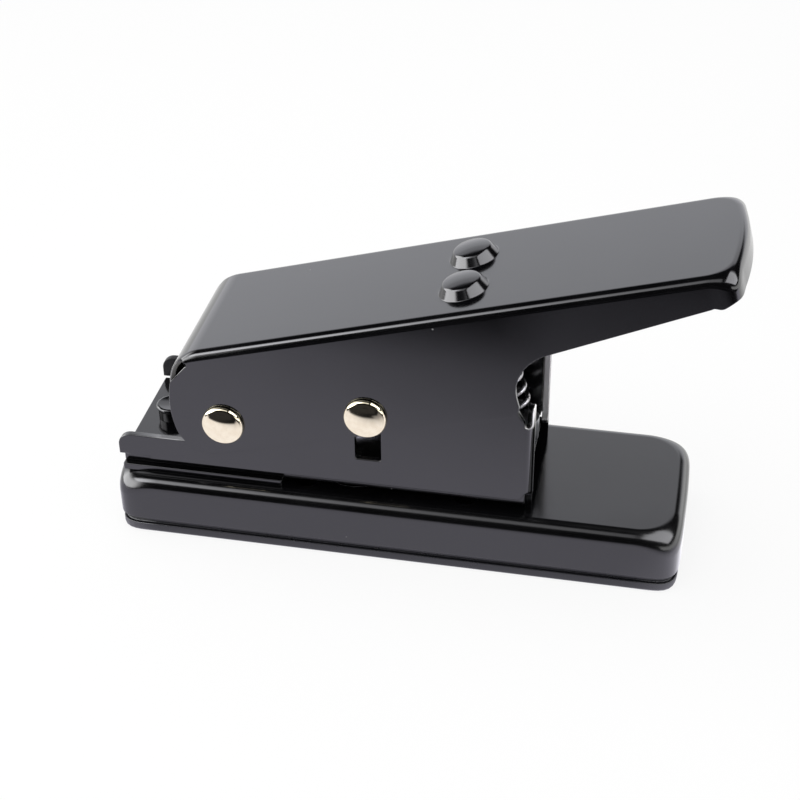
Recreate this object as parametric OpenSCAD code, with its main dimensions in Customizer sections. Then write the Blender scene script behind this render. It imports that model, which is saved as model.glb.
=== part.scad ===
// Lever punch that cuts plectrums out of old plastic cards.
// X runs from the rear (-) to the handle's tip (+), Z is up, and the table is at Z = 0.

/* [Base] */
// Length of the base
base_length = 128; // [120:1:140]
// Width of the base
base_width = 40; // [38:0.5:48]
// Height of the base's top above the table, with the cover
base_height = 15; // [14:0.1:18]
// Radius of the base's corners, seen from above
base_corner_r = 7; // [6:0.5:12]
// Radius of the base's upper edge
base_edge_r = 3; // [2:0.25:3.25]
// Thickness of the base's sheet
base_sheet = 1.2; // [0.8:0.1:1.5]

/* [Bottom cover] */
// Height of the cover's rim under the base
cover_height = 4; // [3:0.1:5]
// Thickness of the cover's floor
cover_floor = 1.2; // [0.8:0.1:1.6]
// Thickness of the lip that rises into the base
cover_wall = 1.2; // [0.8:0.1:1.6]
// Height of the lip inside the base
cover_lip = 4.5; // [2:0.25:5.5]
// Rim of the cover, set in behind the base's outside
cover_inset = 0.3; // [0.1:0.05:0.8]
// Gap between the lip and the base's inside
cover_fit = 0.12; // [0.1:0.02:0.3]
// Radius of the cover's lower edge
cover_foot_r = 0.9; // [0.5:0.1:1]
// Height of the recess between the base and the cover's rim
recess_h = 1.4; // [0.6:0.1:1.8]
// Depth of the recess
recess_depth = 0.5; // [0.2:0.05:0.6]

/* [Card slot] */
// Width of the card that fits between the stop and the front web
card_width = 54; // [50:0.5:58]
// Room beside the card
card_play = 0.2; // [0.1:0.05:0.5]
// Height of the slot, set by the spacer plate
card_gap = 1.6; // [1.2:0.1:2]
// Place of the card stop, the spacer's front edge
card_stop_x = -24.9; // [-26:0.1:-22]

/* [Frame] */
// Width over the two cheeks
frame_width = 33.2; // [32:0.1:33.6]
// Thickness of the frame's sheet
frame_sheet = 1.5; // [1.2:0.1:1.6]
// Outer radius of the front bends
frame_bend_r = 2; // [1.7:0.1:3]
// Distance from the base's rear end to the tongues' ends
frame_setback = 1.7; // [0.5:0.1:4]
// Gap between the base's top and the cheeks' lower edges
cheek_gap = 3.6; // [2.8:0.1:4]
// Height of the cheeks at the front
cheek_height = 26; // [25:0.5:28]
// Height of the rear tongues
tongue_height = 6.2; // [4:0.1:8]
// Radius of the tongues' upper corner
tongue_corner_r = 3; // [1:0.25:3.5]
// Slant cut under the tongues' ends
tongue_cut = 0.9; // [0.4:0.1:2]
// Radius of the cheeks' rounded end round the pivot pin
cheek_boss_r = 9.2; // [7:0.1:10]
// Depth of the bend relief at the top of the front corners
notch_depth = 6.8; // [4:0.1:8]
// How far the cheek leans back along the relief
notch_lean = 3; // [2:0.1:4]
// Radius of the small corners of the frame
frame_corner_r = 1; // [0.5:0.1:1.4]
// Width of the uprights beside the front opening
upright_width = 1.4; // [1:0.1:4]
// Distance from the cheeks' tops down to the uprights' tops
upright_drop = 1.9; // [0.5:0.1:3]
// Width of each tab under the web
tab_width = 7; // [5:0.25:9]
// Distance between the tabs' centres
tab_spacing = 16; // [12:0.5:18]
// Length of the tabs' bent ends
tab_length = 5; // [3:0.25:7]
// Gap round each tab in the base
tab_fit = 0.15; // [0.05:0.05:0.3]

/* [Plates] */
// Thickness of the guide plate
guide_thickness = 2.5; // [2.2:0.1:3]
// Distance from the tongues' ends to the plates' rear edge
plate_setback = 0.5; // [0:0.1:2]
// Length of the die plate
die_length = 44; // [42:0.5:47]
// Gap between the die plate and the base's rounded edges
die_side_gap = 0.2; // [0.1:0.05:1]
// Thickness of the die plate
die_thickness = 3; // [2:0.1:3.2]
// Height of the die's cutting land
die_land = 1.5; // [0.8:0.1:1.8]
// Widening of the die hole under its cutting land
chip_relief = 0.5; // [0.2:0.1:1]

/* [Pick shape] */
// Length of the pick, back edge to tip
pick_length = 30; // [27:0.5:31]
// Width of the pick over its shoulders
pick_width = 26; // [22:0.5:26.5]
// Radius of the tip
pick_tip_r = 3; // [2:0.25:4]
// Radius of the shoulders
pick_shoulder_r = 6; // [4:0.25:7]
// Radius of the curved sides
pick_side_r = 48; // [40:1:80]
// Radius of the curved back edge
pick_back_r = 34; // [28:1:60]
// Distance from the drive pin back to the pick's back edge
pick_back = 12; // [11:0.25:14]

/* [Punch] */
// Height of the punch block
punch_height = 12; // [10:0.25:13]
// Gap between the punch and the guide plate or die
punch_fit = 0.06; // [0.03:0.01:0.1]
// Height of the punch's face above the slot at rest
punch_lift = 0.7; // [0.3:0.1:1.4]
// Depth of the shallow V in the punch's face
punch_hollow = 0.5; // [0.2:0.1:0.8]
// Thickness of the yoke's sheet
yoke_sheet = 2; // [1.5:0.1:2.2]
// Width of the yoke along the base
yoke_width = 12; // [11:0.5:15]
// Outer radius of the yoke's bends
yoke_bend_r = 2.8; // [2.4:0.1:3.4]
// Gap between the yoke's ears and the cheeks
yoke_play = 0.3; // [0.1:0.05:0.6]
// Diameter of the yoke screws
screw_d = 4; // [3:0.25:4.5]
// Distance between the yoke screws
screw_spacing = 12; // [10:0.5:14]
// Depth of the screws in the punch
screw_depth = 8; // [6:0.5:9]
// Diameter of the screws' heads
screw_head_d = 6.8; // [5.5:0.1:7.4]
// Height of the screws' heads
screw_head_h = 2; // [1.6:0.1:2.2]
// Height of the heads' straight rim
screw_head_rim = 1; // [0.6:0.1:1.2]
// Size of the screws' sockets over their corners
socket_d = 3.4; // [2.6:0.1:3.8]
// Depth of the screws' sockets
socket_depth = 1.3; // [0.8:0.1:1.5]

/* [Pins] */
// Place of the pivot pin along the base
pivot_x = -36.8; // [-38:0.1:-36]
// Height of the pivot pin above the base's top
pivot_rise = 16.5; // [15.5:0.1:17]
// Place of the drive pin along the base
drive_x = -5; // [-6:0.1:-4.5]
// Height of the drive pin above the base's top at rest
drive_rise = 22.3; // [21.8:0.1:23]
// Diameter of both pins
pin_d = 5.6; // [4.5:0.1:6]
// Gap round a pin where it turns or slides
pin_fit = 0.06; // [0.03:0.01:0.1]
// Diameter of the domed heads
pin_head_d = 9.4; // [8.6:0.1:11]
// Height of the domed heads
pin_head_h = 1.9; // [1.4:0.1:2.5]
// Height of the heads' straight rim
pin_head_rim = 0.5; // [0.3:0.1:0.8]
// Diameter of the spigot that holds the cap
pin_spigot_d = 3.2; // [2.5:0.1:3.8]
// Gap between a head and the handle's side
head_play = 0.12; // [0.05:0.01:0.3]
// Diameter of the spacer tube on the pivot pin
tube_d = 8.4; // [7.5:0.1:10]
// Room left under the drive pin at the end of its slot
slot_room = 1; // [0.5:0.1:1.5]

/* [Handle] */
// Angle of the handle above level at rest
handle_tilt = 15.5; // [15:0.25:17]
// Angle that the handle turns through
handle_travel = 15; // [13:0.25:15]
// Thickness of the handle's sheet
handle_sheet = 1.1; // [0.9:0.05:1.3]
// Gap between the handle's sides and the cheeks
handle_play = 0.2; // [0.1:0.05:0.5]
// Height of the top panel above the pivot pin
handle_rise = 18.3; // [17.5:0.1:20]
// Length from the pivot pin to the nose
handle_reach = 115.75; // [110:0.25:122]
// Outer radius of the folds along the top panel
fold_r = 2; // [1.6:0.1:3]
// Radius of the nose's corners, seen from above
nose_corner_r = 6; // [4:0.25:10]
// Depth of the nose below the top panel
nose_depth = 7.6; // [7.2:0.1:9]
// Depth of the grip's sides just behind the nose
grip_depth = 6.7; // [6:0.1:7.2]
// Angle between the grip's lower edge and the top panel
grip_taper = 8.8; // [6:0.1:10]
// Radius of the step between the side flange and the grip
grip_step_r = 10; // [6:0.25:11]
// Depth of the side flanges below the pivot pin
flange_drop = 7.6; // [6.5:0.1:8.5]
// Reach of the side flanges behind the pivot pin
flange_back = 11.3; // [10.5:0.1:12.5]
// Reach of the side flanges in front of the pivot pin
flange_front = 65.4; // [64:0.1:68]
// Radius of the flanges' rear edge above the heel
flange_back_r = 19.5; // [18:0.5:24]
// Radius of the flanges' heel, below the rear edge
heel_r = 8; // [5:0.25:9]
// Radius of the flanges' lower front corner
toe_r = 2.5; // [1:0.25:4]
// Radius of the curled rear lip
lip_r = 7; // [5:0.25:8]
// Angle that the lip is curled through
lip_angle = 80; // [60:1:90]
// Gap between the lip and the side flanges
lip_gap = 0.3; // [0.2:0.05:1.2]

/* [Springs] */
// Place of the springs in front of the pivot pin, along the top panel
spring_reach = 57.8; // [57:0.1:58.5]
// Distance between the two springs
spring_spacing = 13.8; // [12.5:0.1:15]
// Outer diameter of the springs
spring_d = 6.8; // [6.2:0.1:6.9]
// Diameter of the spring wire
spring_wire = 1.2; // [0.8:0.05:1.4]
// Number of coils
spring_coils = 12; // [8:1:14]
// Radius of the bends that lead to the springs' straight ends
spring_elbow = 1.1; // [0.9:0.05:1.4]
// Height of the spring seats above the guide plate
seat_rise = 4.4; // [3:0.1:6]
// Diameter of the spring seats
seat_d = 8; // [7:0.1:8.4]
// Gap between a spring's end and what it stands against
spring_gap = 0.05; // [0.02:0.01:0.2]
// Diameter of the dimples at the top panel
dimple_d = 10.6; // [10:0.1:12]
// Diameter of the dimples' flat tops
dimple_top_d = 9; // [8.9:0.05:9.4]
// Height of the dimples
dimple_h = 2.5; // [2:0.1:3.2]
// Height of the crown on the dimples' tops
dimple_crown = 0.5; // [0.3:0.05:0.9]
// Sideways thickness of the dimples' drawn walls
dimple_wall = 0.8; // [0.6:0.05:0.85]

/* [Rivets] */
// Distance from the tongues' ends to the rear post
post_setback = 7; // [5.5:0.1:9]
// Diameter of the rear post
post_d = 6; // [5:0.1:7]
// Diameter of the rear post's head
post_head_d = 6.8; // [6:0.1:8]
// Height of the rear post above the guide plate
post_height = 3.6; // [2.5:0.1:5]
// Height of the rear post's head
post_head_h = 1.2; // [0.8:0.1:1.6]
// Depth of the dish in the post's head
post_dish = 0.7; // [0.3:0.1:1]
// Diameter of the rivets
rivet_d = 3.2; // [2.4:0.1:3.8]
// Diameter of the rivets' heads
rivet_head_d = 5.4; // [4.6:0.1:6.4]
// Height of the rivets' heads
rivet_head_h = 0.8; // [0.5:0.1:1]
// Height of the straight rim of the rivets' domed heads
rivet_rim_h = 0.3; // [0.2:0.05:0.4]
// Gap round the rivets, the post and the screws
rivet_fit = 0.02; // [0.01:0.01:0.05]
// Distance from the card stop back to the guide rivets
guide_rivet_setback = 5; // [4:0.25:6]
// Distance between the guide rivets
guide_rivet_spacing = 20; // [16:0.5:23]
// Distance from the die plate's edges to its rivets
die_rivet_inset = 4; // [3.5:0.25:4.5]

/* [Hidden] */
$fn = 96;
past = 1;
// Height by which the pick's corner discs stand over its flat arcs, so that they cross
corner_hair = 0.01;

paint = "#1b1b1d";
nickel = "#cfc7b8";
steel = "#8f9296";
zinc = "#a9acb0";
plastic = "#161617";

// Levels above the table
base_top = base_height;
base_under = base_top - base_sheet;
spacer_top = base_top + card_gap;
guide_top = spacer_top + guide_thickness;
cheek_low = base_top + cheek_gap;
cheek_top = cheek_low + cheek_height;
die_low = base_under - die_thickness;
recess_low = cover_height - recess_h;

// Places along and across the base
frame_rear = frame_setback - base_length / 2;
web_back = card_stop_x + card_width + card_play;
web_front = web_back + frame_sheet;
cheek_front = web_front - frame_bend_r;
plate_rear = frame_rear + plate_setback;
die_width = base_width - 2 * (base_edge_r + die_side_gap);
frame_half = frame_width / 2;
frame_inner = frame_half - frame_sheet;
handle_inner = frame_half + handle_play;
handle_half = handle_inner + handle_sheet;

// Pins, and the way of the drive pin as the handle turns
pivot_z = base_top + pivot_rise;
drive_z = base_top + drive_rise;
pin_r = pin_d / 2;
arm_x = drive_x - pivot_x;
arm_z = drive_rise - pivot_rise;
arm_u = arm_x * cos(handle_tilt) + arm_z * sin(handle_tilt);
arm_v = arm_z * cos(handle_tilt) - arm_x * sin(handle_tilt);
end_tilt = handle_tilt - handle_travel;
punch_travel = arm_z - arm_u * sin(end_tilt) - arm_v * cos(end_tilt);
turn_steps = 12;
turns = [for (step = [0:turn_steps]) step / turn_steps];
function drive_u(turn) =
    let (tilt = handle_tilt - handle_travel * turn)
    arm_x * cos(tilt) + (arm_z - punch_travel * turn) * sin(tilt);
function drive_v(turn) =
    let (tilt = handle_tilt - handle_travel * turn)
    (arm_z - punch_travel * turn) * cos(tilt) - arm_x * sin(tilt);
drive_us = [for (turn = turns) drive_u(turn)];
drive_vs = [for (turn = turns) drive_v(turn)];

// Punch and yoke levels at rest
punch_low = spacer_top + punch_lift;
punch_top = punch_low + punch_height;
yoke_top = punch_top + yoke_sheet;
yoke_half = frame_inner - yoke_play;

// Grip and nose, in the handle's own plane
nose_start = handle_reach - nose_corner_r;
grip_low = handle_rise - grip_depth;
step_x = flange_front + grip_step_r;
step_low = grip_low - (nose_start - step_x) * tan(grip_taper) - grip_step_r / cos(grip_taper);

// Springs, in the handle's own plane
dimple_low = handle_rise - handle_sheet;
spring_r = (spring_d - spring_wire) / 2;
crown_r = (pow(dimple_top_d / 2, 2) + pow(dimple_crown, 2)) / (2 * dimple_crown);
crown_drop = crown_r - sqrt(pow(crown_r, 2) - pow(spring_d / 2, 2));
spring_top = dimple_low + dimple_h - crown_drop - spring_gap;
seat_z = guide_top + seat_rise;
spring_low = (seat_z - pivot_z - spring_reach * sin(handle_tilt)) / cos(handle_tilt);
seat_x = pivot_x + spring_reach * cos(handle_tilt) - spring_low * sin(handle_tilt);

// Moves the handle's own plane, with the pivot pin at its origin, to its tilted place
module at_handle() {
    translate([pivot_x, 0, pivot_z]) rotate([0, -handle_tilt, 0]) children();
}

// Copies to the near and the far side
module both_sides() {
    children();
    mirror([0, 1, 0]) children();
}

// Plate with its outline drawn in X and Z, from y_low to y_high
module upright_plate(y_low, y_high) {
    translate([0, y_high, 0]) rotate([90, 0, 0]) linear_extrude(y_high - y_low) children();
}

// Cross-section with a flat foot and two rounded upper corners
module arch_section(width, height, edge_r) {
    translate([-width / 2, 0]) square([width, height - edge_r]);
    translate([edge_r - width / 2, 0]) square([width - 2 * edge_r, height]);
    for (side = [-1, 1])
        translate([side * (width / 2 - edge_r), height - edge_r]) circle(edge_r);
}

// Block with round corners in plan and a rounded upper edge, as a drawn tray has
module drawn_block(length, width, height, corner_r, edge_r) {
    translate([corner_r - length / 2, 0, 0]) rotate([90, 0, 90])
        linear_extrude(length - 2 * corner_r) arch_section(width, height, edge_r);
    translate([0, width / 2 - corner_r, 0]) rotate([90, 0, 0])
        linear_extrude(width - 2 * corner_r) arch_section(length, height, edge_r);
    for (x_side = [-1, 1], y_side = [-1, 1])
        translate([x_side * (length / 2 - corner_r), y_side * (width / 2 - corner_r), 0])
            rotate_extrude() intersection() {
                arch_section(2 * corner_r, height, edge_r);
                square([corner_r, height]);
            }
}

// Flat block with round corners in plan
module round_block(length, width, height, corner_r) {
    linear_extrude(height) {
        square([length - 2 * corner_r, width], center = true);
        square([length, width - 2 * corner_r], center = true);
        for (x_side = [-1, 1], y_side = [-1, 1])
            translate([x_side * (length / 2 - corner_r), y_side * (width / 2 - corner_r)])
                circle(corner_r);
    }
}

// Centre of the arc of radius big_r that takes in two corner discs and bows out to their right
function arc_centre(a, a_r, b, b_r, big_r) =
    let (
        span = norm(b - a),
        along = (b - a) / span,
        inward = [-along.y, along.x],
        foot = (pow(span, 2) + pow(big_r - a_r, 2) - pow(big_r - b_r, 2)) / (2 * span)
    )
    a + foot * along + sqrt(pow(big_r - a_r, 2) - pow(foot, 2)) * inward;

// Flat-arced part of the pick between the centres of two corners
module pick_side(centre, r, from, to) {
    reach = pick_width / 2;
    from_way = (from - centre) / norm(from - centre);
    to_way = (to - centre) / norm(to - centre);
    intersection() {
        translate(centre) circle(r);
        polygon([from, from + reach * from_way, to + reach * to_way, to]);
    }
}

// Pick outline with its back edge at X = 0 and its tip towards +X, grown by a clearance all round:
// three flat arcs that run into three corner discs
module pick_outline(grow = 0) {
    back_sag = pick_back_r - sqrt(pow(pick_back_r - pick_shoulder_r, 2)
                                  - pow(pick_width / 2 - pick_shoulder_r, 2));
    far_c = [back_sag, pick_width / 2 - pick_shoulder_r];
    corners = [[far_c.x, -far_c.y], [pick_length - pick_tip_r, 0], far_c];
    radii = [pick_shoulder_r, pick_tip_r, pick_shoulder_r];
    arcs = [pick_side_r, pick_side_r, pick_back_r];
    polygon(corners);
    for (i = [0:2]) {
        j = (i + 1) % 3;
        centre = arc_centre(corners[i], radii[i], corners[j], radii[j], arcs[i]);
        pick_side(centre, arcs[i] + grow, corners[i], corners[j]);
        translate(corners[i]) circle(radii[i] + grow + corner_hair);
    }
}

// Pick-shaped prism in its place over the die
module pick_prism(low, high, grow = 0) {
    translate([drive_x - pick_back, 0, low]) linear_extrude(high - low) pick_outline(grow);
}

// Places of the fasteners
module at_rear_post() {
    translate([frame_rear + post_setback, 0, 0]) children();
}

module at_guide_rivets() {
    for (side = [-1, 1])
        translate([card_stop_x - guide_rivet_setback, side * guide_rivet_spacing / 2, 0]) children();
}

die_centre_x = drive_x - pick_back + pick_length / 2;
module at_die_rivets() {
    for (x_side = [-1, 1], y_side = [-1, 1])
        translate([die_centre_x + x_side * (die_length / 2 - die_rivet_inset),
                   y_side * (die_width / 2 - die_rivet_inset), 0]) children();
}

module at_springs() {
    for (side = [-1, 1]) translate([spring_reach, side * spring_spacing / 2, 0]) children();
}

module at_yoke_screws() {
    for (side = [-1, 1]) translate([drive_x, side * screw_spacing / 2, 0]) children();
}

module at_web_tabs() {
    for (side = [-1, 1]) translate([0, side * tab_spacing / 2, 0]) children();
}

// Domed head, flat side at Z = 0
module domed_head(diameter, height, rim) {
    rise = height - rim;
    dome_r = (pow(diameter / 2, 2) + pow(rise, 2)) / (2 * rise);
    intersection() {
        cylinder(h = height, d = diameter);
        translate([0, 0, height - dome_r]) sphere(dome_r);
    }
}

// Flush rivet: countersunk head down through one sheet, then a shank, grown by a clearance
module flush_rivet(top, sheet, low, grow = 0) {
    translate([0, 0, top - sheet])
        cylinder(h = sheet, d1 = rivet_d + 2 * grow, d2 = rivet_head_d + 2 * grow);
    translate([0, 0, low]) cylinder(h = top - sheet - low, d = rivet_d + 2 * grow);
}

// Drawn steel tray, open below, with the pick-shaped opening and the fastener holes
module base_shell() {
    color(paint) difference() {
        translate([0, 0, cover_height])
            drawn_block(base_length, base_width, base_top - cover_height, base_corner_r, base_edge_r);
        translate([0, 0, cover_height - past])
            drawn_block(base_length - 2 * base_sheet, base_width - 2 * base_sheet,
                        base_under - cover_height + past, base_corner_r - base_sheet,
                        base_edge_r - base_sheet);
        pick_prism(base_under - past, base_top + past, chip_relief);
        at_rear_post() translate([0, 0, base_under - past])
            cylinder(h = base_sheet + 2 * past, d = rivet_d + 2 * rivet_fit);
        at_guide_rivets() translate([0, 0, base_under - past])
            cylinder(h = base_sheet + 2 * past, d = rivet_d + 2 * rivet_fit);
        at_die_rivets() flush_rivet(base_top, base_sheet, base_under - past, rivet_fit);
        at_web_tabs() translate([web_back - tab_fit, -tab_width / 2 - tab_fit, base_under - past])
            cube([frame_sheet + 2 * tab_fit, tab_width + 2 * tab_fit, base_sheet + 2 * past]);
    }
}

// Plastic cover: a rim under the base and a lip that rises inside it
module bottom_cover() {
    rim = 2 * cover_inset;
    recess = rim + 2 * recess_depth;
    lip = 2 * (base_sheet + cover_fit);
    hollow = lip + 2 * cover_wall;
    color(plastic) difference() {
        union() {
            translate([0, 0, cover_height]) mirror([0, 0, 1])
                drawn_block(base_length - rim, base_width - rim, cover_height,
                            base_corner_r - cover_inset, cover_foot_r);
            translate([0, 0, cover_floor])
                round_block(base_length - lip, base_width - lip, cover_height - cover_floor + cover_lip,
                            base_corner_r - lip / 2);
        }
        translate([0, 0, cover_floor])
            round_block(base_length - hollow, base_width - hollow, cover_height + cover_lip,
                        base_corner_r - hollow / 2);
        translate([0, 0, recess_low]) difference() {
            round_block(base_length, base_width, recess_h + past, base_corner_r);
            translate([0, 0, -past])
                round_block(base_length - recess, base_width - recess, recess_h + 3 * past,
                            base_corner_r - recess / 2);
        }
    }
}

// Plate on the base behind the card slot
module spacer_plate() {
    color(paint) difference() {
        translate([plate_rear, -frame_half, base_top])
            cube([card_stop_x - plate_rear, frame_width, card_gap]);
        at_rear_post() translate([0, 0, base_top - past])
            cylinder(h = card_gap + 2 * past, d = rivet_d + 2 * rivet_fit);
        at_guide_rivets() translate([0, 0, base_top - past])
            cylinder(h = card_gap + 2 * past, d = rivet_d + 2 * rivet_fit);
    }
}

// Hardened plate under the base's top, with a cutting land and a wider way out for the chips
module die_plate() {
    color(steel) difference() {
        translate([die_centre_x - die_length / 2, -die_width / 2, die_low])
            cube([die_length, die_width, die_thickness]);
        pick_prism(die_low - past, base_under + past, punch_fit);
        pick_prism(die_low - past, base_under - die_land, chip_relief);
        at_die_rivets() translate([0, 0, die_low - past])
            cylinder(h = die_thickness + 2 * past, d = rivet_d + 2 * rivet_fit);
    }
}

// Rivets that hold the die plate, flush with the base's top
module die_rivets() {
    color(zinc) at_die_rivets() {
        flush_rivet(base_top, base_sheet, die_low);
        translate([0, 0, die_low - rivet_head_h]) cylinder(h = rivet_head_h, d = rivet_head_d);
    }
}

// Outline of one cheek with its rear tongue, before its holes
module cheek_blank() {
    tongue_top = cheek_low + tongue_height;
    cut_end = tongue_cut + past;
    // Tongue with a rounded upper corner and a slant cut below it
    difference() {
        translate([frame_rear, cheek_low]) square([pivot_x - frame_rear, tongue_height]);
        translate([frame_rear - past, tongue_top - tongue_corner_r])
            square([tongue_corner_r + past, tongue_corner_r + past]);
        polygon([[frame_rear - past, cheek_low - past], [frame_rear + cut_end, cheek_low - past],
                 [frame_rear - past, cheek_low + cut_end]]);
    }
    translate([frame_rear + tongue_corner_r, tongue_top - tongue_corner_r]) circle(tongue_corner_r);
    // Round end at the pivot pin and the deep part in front of it
    translate([pivot_x, pivot_z]) circle(cheek_boss_r);
    polygon([[pivot_x - cheek_boss_r / 2, cheek_low], [cheek_front - frame_corner_r, cheek_low],
             [cheek_front - frame_corner_r, cheek_low + frame_corner_r],
             [cheek_front, cheek_low + frame_corner_r], [cheek_front, cheek_top - notch_depth],
             [cheek_front - notch_lean, cheek_top], [drive_x - pin_d, cheek_top],
             [pivot_x, pivot_z + cheek_boss_r], [pivot_x - cheek_boss_r / 2, pivot_z]]);
    translate([cheek_front - frame_corner_r, cheek_low + frame_corner_r]) circle(frame_corner_r);
}

// Front web, drawn in Y and Z: a sill in front of the guide plate and two round-topped uprights
module web_blank() {
    half = frame_half - frame_bend_r;
    upright_r = upright_width / 2;
    round_z = cheek_top - upright_drop - upright_r;
    translate([-half, base_top]) square([2 * half, guide_top - base_top]);
    for (side = [-1, 1]) translate([side * (half - upright_r), 0]) {
        translate([-upright_r, base_top]) square([upright_width, round_z - base_top]);
        translate([0, round_z]) circle(upright_r);
    }
}

// Sheet bent to a U in plan: two slotted cheeks, an open front web and two clinched tabs under it
module frame() {
    slot_half = pin_r + pin_fit;
    slot_low = drive_z - punch_travel - pin_r - slot_room;
    bend_low = cheek_low + 2 * frame_corner_r;
    tab_low = base_under - frame_sheet;
    color(paint) {
        difference() {
            both_sides() upright_plate(-frame_half, -frame_inner) cheek_blank();
            translate([pivot_x, frame_half + past, pivot_z]) rotate([90, 0, 0])
                cylinder(h = frame_width + 2 * past, d = pin_d + 2 * rivet_fit);
            translate([drive_x - slot_half, -frame_half - past, slot_low])
                cube([2 * slot_half, frame_width + 2 * past, drive_z + slot_half - slot_low]);
        }
        translate([web_back, 0, 0]) rotate([90, 0, 90]) linear_extrude(frame_sheet) web_blank();
        both_sides() translate([cheek_front, frame_bend_r - frame_half, bend_low])
            rotate([0, 0, -90]) rotate_extrude(angle = 90)
                translate([frame_bend_r - frame_sheet, 0])
                    square([frame_sheet, cheek_top - notch_depth - bend_low]);
        at_web_tabs() translate([web_back, -tab_width / 2, tab_low]) {
            cube([frame_sheet, tab_width, base_top - tab_low]);
            cube([frame_sheet + tab_length, tab_width, frame_sheet]);
        }
    }
}

// Floor of the frame: carries the punch's guide hole and closes the card slot from above
module guide_plate() {
    color(paint) difference() {
        translate([plate_rear, -frame_inner, spacer_top])
            cube([web_back - plate_rear, 2 * frame_inner, guide_thickness]);
        pick_prism(spacer_top - past, guide_top + past, punch_fit);
        at_rear_post() translate([0, 0, spacer_top - past])
            cylinder(h = guide_thickness + 2 * past, d = rivet_d + 2 * rivet_fit);
        at_guide_rivets() translate([0, 0, spacer_top - past])
            cylinder(h = guide_thickness + 2 * past, d = rivet_d + 2 * rivet_fit);
        for (side = [-1, 1]) translate([seat_x, side * spring_spacing / 2, spacer_top - past])
            cylinder(h = guide_thickness + 2 * past, d = rivet_d + 2 * rivet_fit);
    }
}

// Rivets through guide plate, spacer and base
module guide_rivets() {
    color(zinc) at_guide_rivets() {
        translate([0, 0, base_under]) cylinder(h = guide_top - base_under, d = rivet_d);
        translate([0, 0, guide_top]) domed_head(rivet_head_d, rivet_head_h, rivet_rim_h);
        translate([0, 0, base_under - rivet_head_h]) cylinder(h = rivet_head_h, d = rivet_head_d);
    }
}

// Standing rivet at the rear, with a rolled and dished head
module rear_post() {
    roll_r = post_head_h / 2;
    top = guide_top + post_height;
    dish_r = (pow(post_head_d / 2 - roll_r, 2) + pow(post_dish, 2)) / (2 * post_dish);
    color(paint) at_rear_post() difference() {
        union() {
            translate([0, 0, base_under]) cylinder(h = guide_top - base_under, d = rivet_d);
            translate([0, 0, guide_top]) cylinder(h = post_height, d = post_d);
            translate([0, 0, top - post_head_h]) rotate_extrude() {
                square([post_head_d / 2 - roll_r, post_head_h]);
                translate([post_head_d / 2 - roll_r, roll_r]) circle(roll_r);
            }
            translate([0, 0, base_under - rivet_head_h]) cylinder(h = rivet_head_h, d = rivet_head_d);
        }
        translate([0, 0, top + dish_r - post_dish]) sphere(dish_r);
    }
}

// Bosses on the guide plate, cut square to the springs' lean
module spring_seats() {
    cut = 4 * seat_d;
    color(zinc) for (side = [-1, 1]) translate([0, side * spring_spacing / 2, 0]) {
        difference() {
            translate([seat_x, 0, guide_top]) cylinder(h = seat_rise + seat_d, d = seat_d);
            at_handle() translate([spring_reach - cut / 2, -cut / 2, spring_low]) cube(cut);
        }
        translate([seat_x, 0, spacer_top]) cylinder(h = guide_thickness, d = rivet_d);
    }
}

// Pin across the machine with its near head, and a spigot for the cap on the far side
module headed_pin() {
    under_head = handle_half + head_play;
    rotate([90, 0, 0]) {
        translate([0, 0, -under_head]) cylinder(h = 2 * under_head, d = pin_d);
        translate([0, 0, under_head]) domed_head(pin_head_d, pin_head_h, pin_head_rim);
        translate([0, 0, -under_head - pin_head_h / 2]) cylinder(h = pin_head_h, d = pin_spigot_d);
    }
}

// Domed cap on the far end of a pin
module pin_cap() {
    under_head = handle_half + head_play;
    rotate([-90, 0, 0]) translate([0, 0, under_head]) difference() {
        domed_head(pin_head_d, pin_head_h, pin_head_rim);
        translate([0, 0, -past])
            cylinder(h = past + pin_head_h / 2 + rivet_fit, d = pin_spigot_d + 2 * rivet_fit);
    }
}

module pivot_pin() {
    color(nickel) translate([pivot_x, 0, pivot_z]) headed_pin();
}

module pivot_pin_cap() {
    color(nickel) translate([pivot_x, 0, pivot_z]) pin_cap();
}

module drive_pin() {
    color(nickel) translate([drive_x, 0, drive_z]) headed_pin();
}

module drive_pin_cap() {
    color(nickel) translate([drive_x, 0, drive_z]) pin_cap();
}

// Tube between the cheeks on the pivot pin
module pivot_spacer_tube() {
    color(zinc) translate([pivot_x, frame_inner, pivot_z]) rotate([90, 0, 0]) difference() {
        cylinder(h = 2 * frame_inner, d = tube_d);
        translate([0, 0, -past]) cylinder(h = 2 * frame_inner + 2 * past, d = pin_d + 2 * rivet_fit);
    }
}

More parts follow.
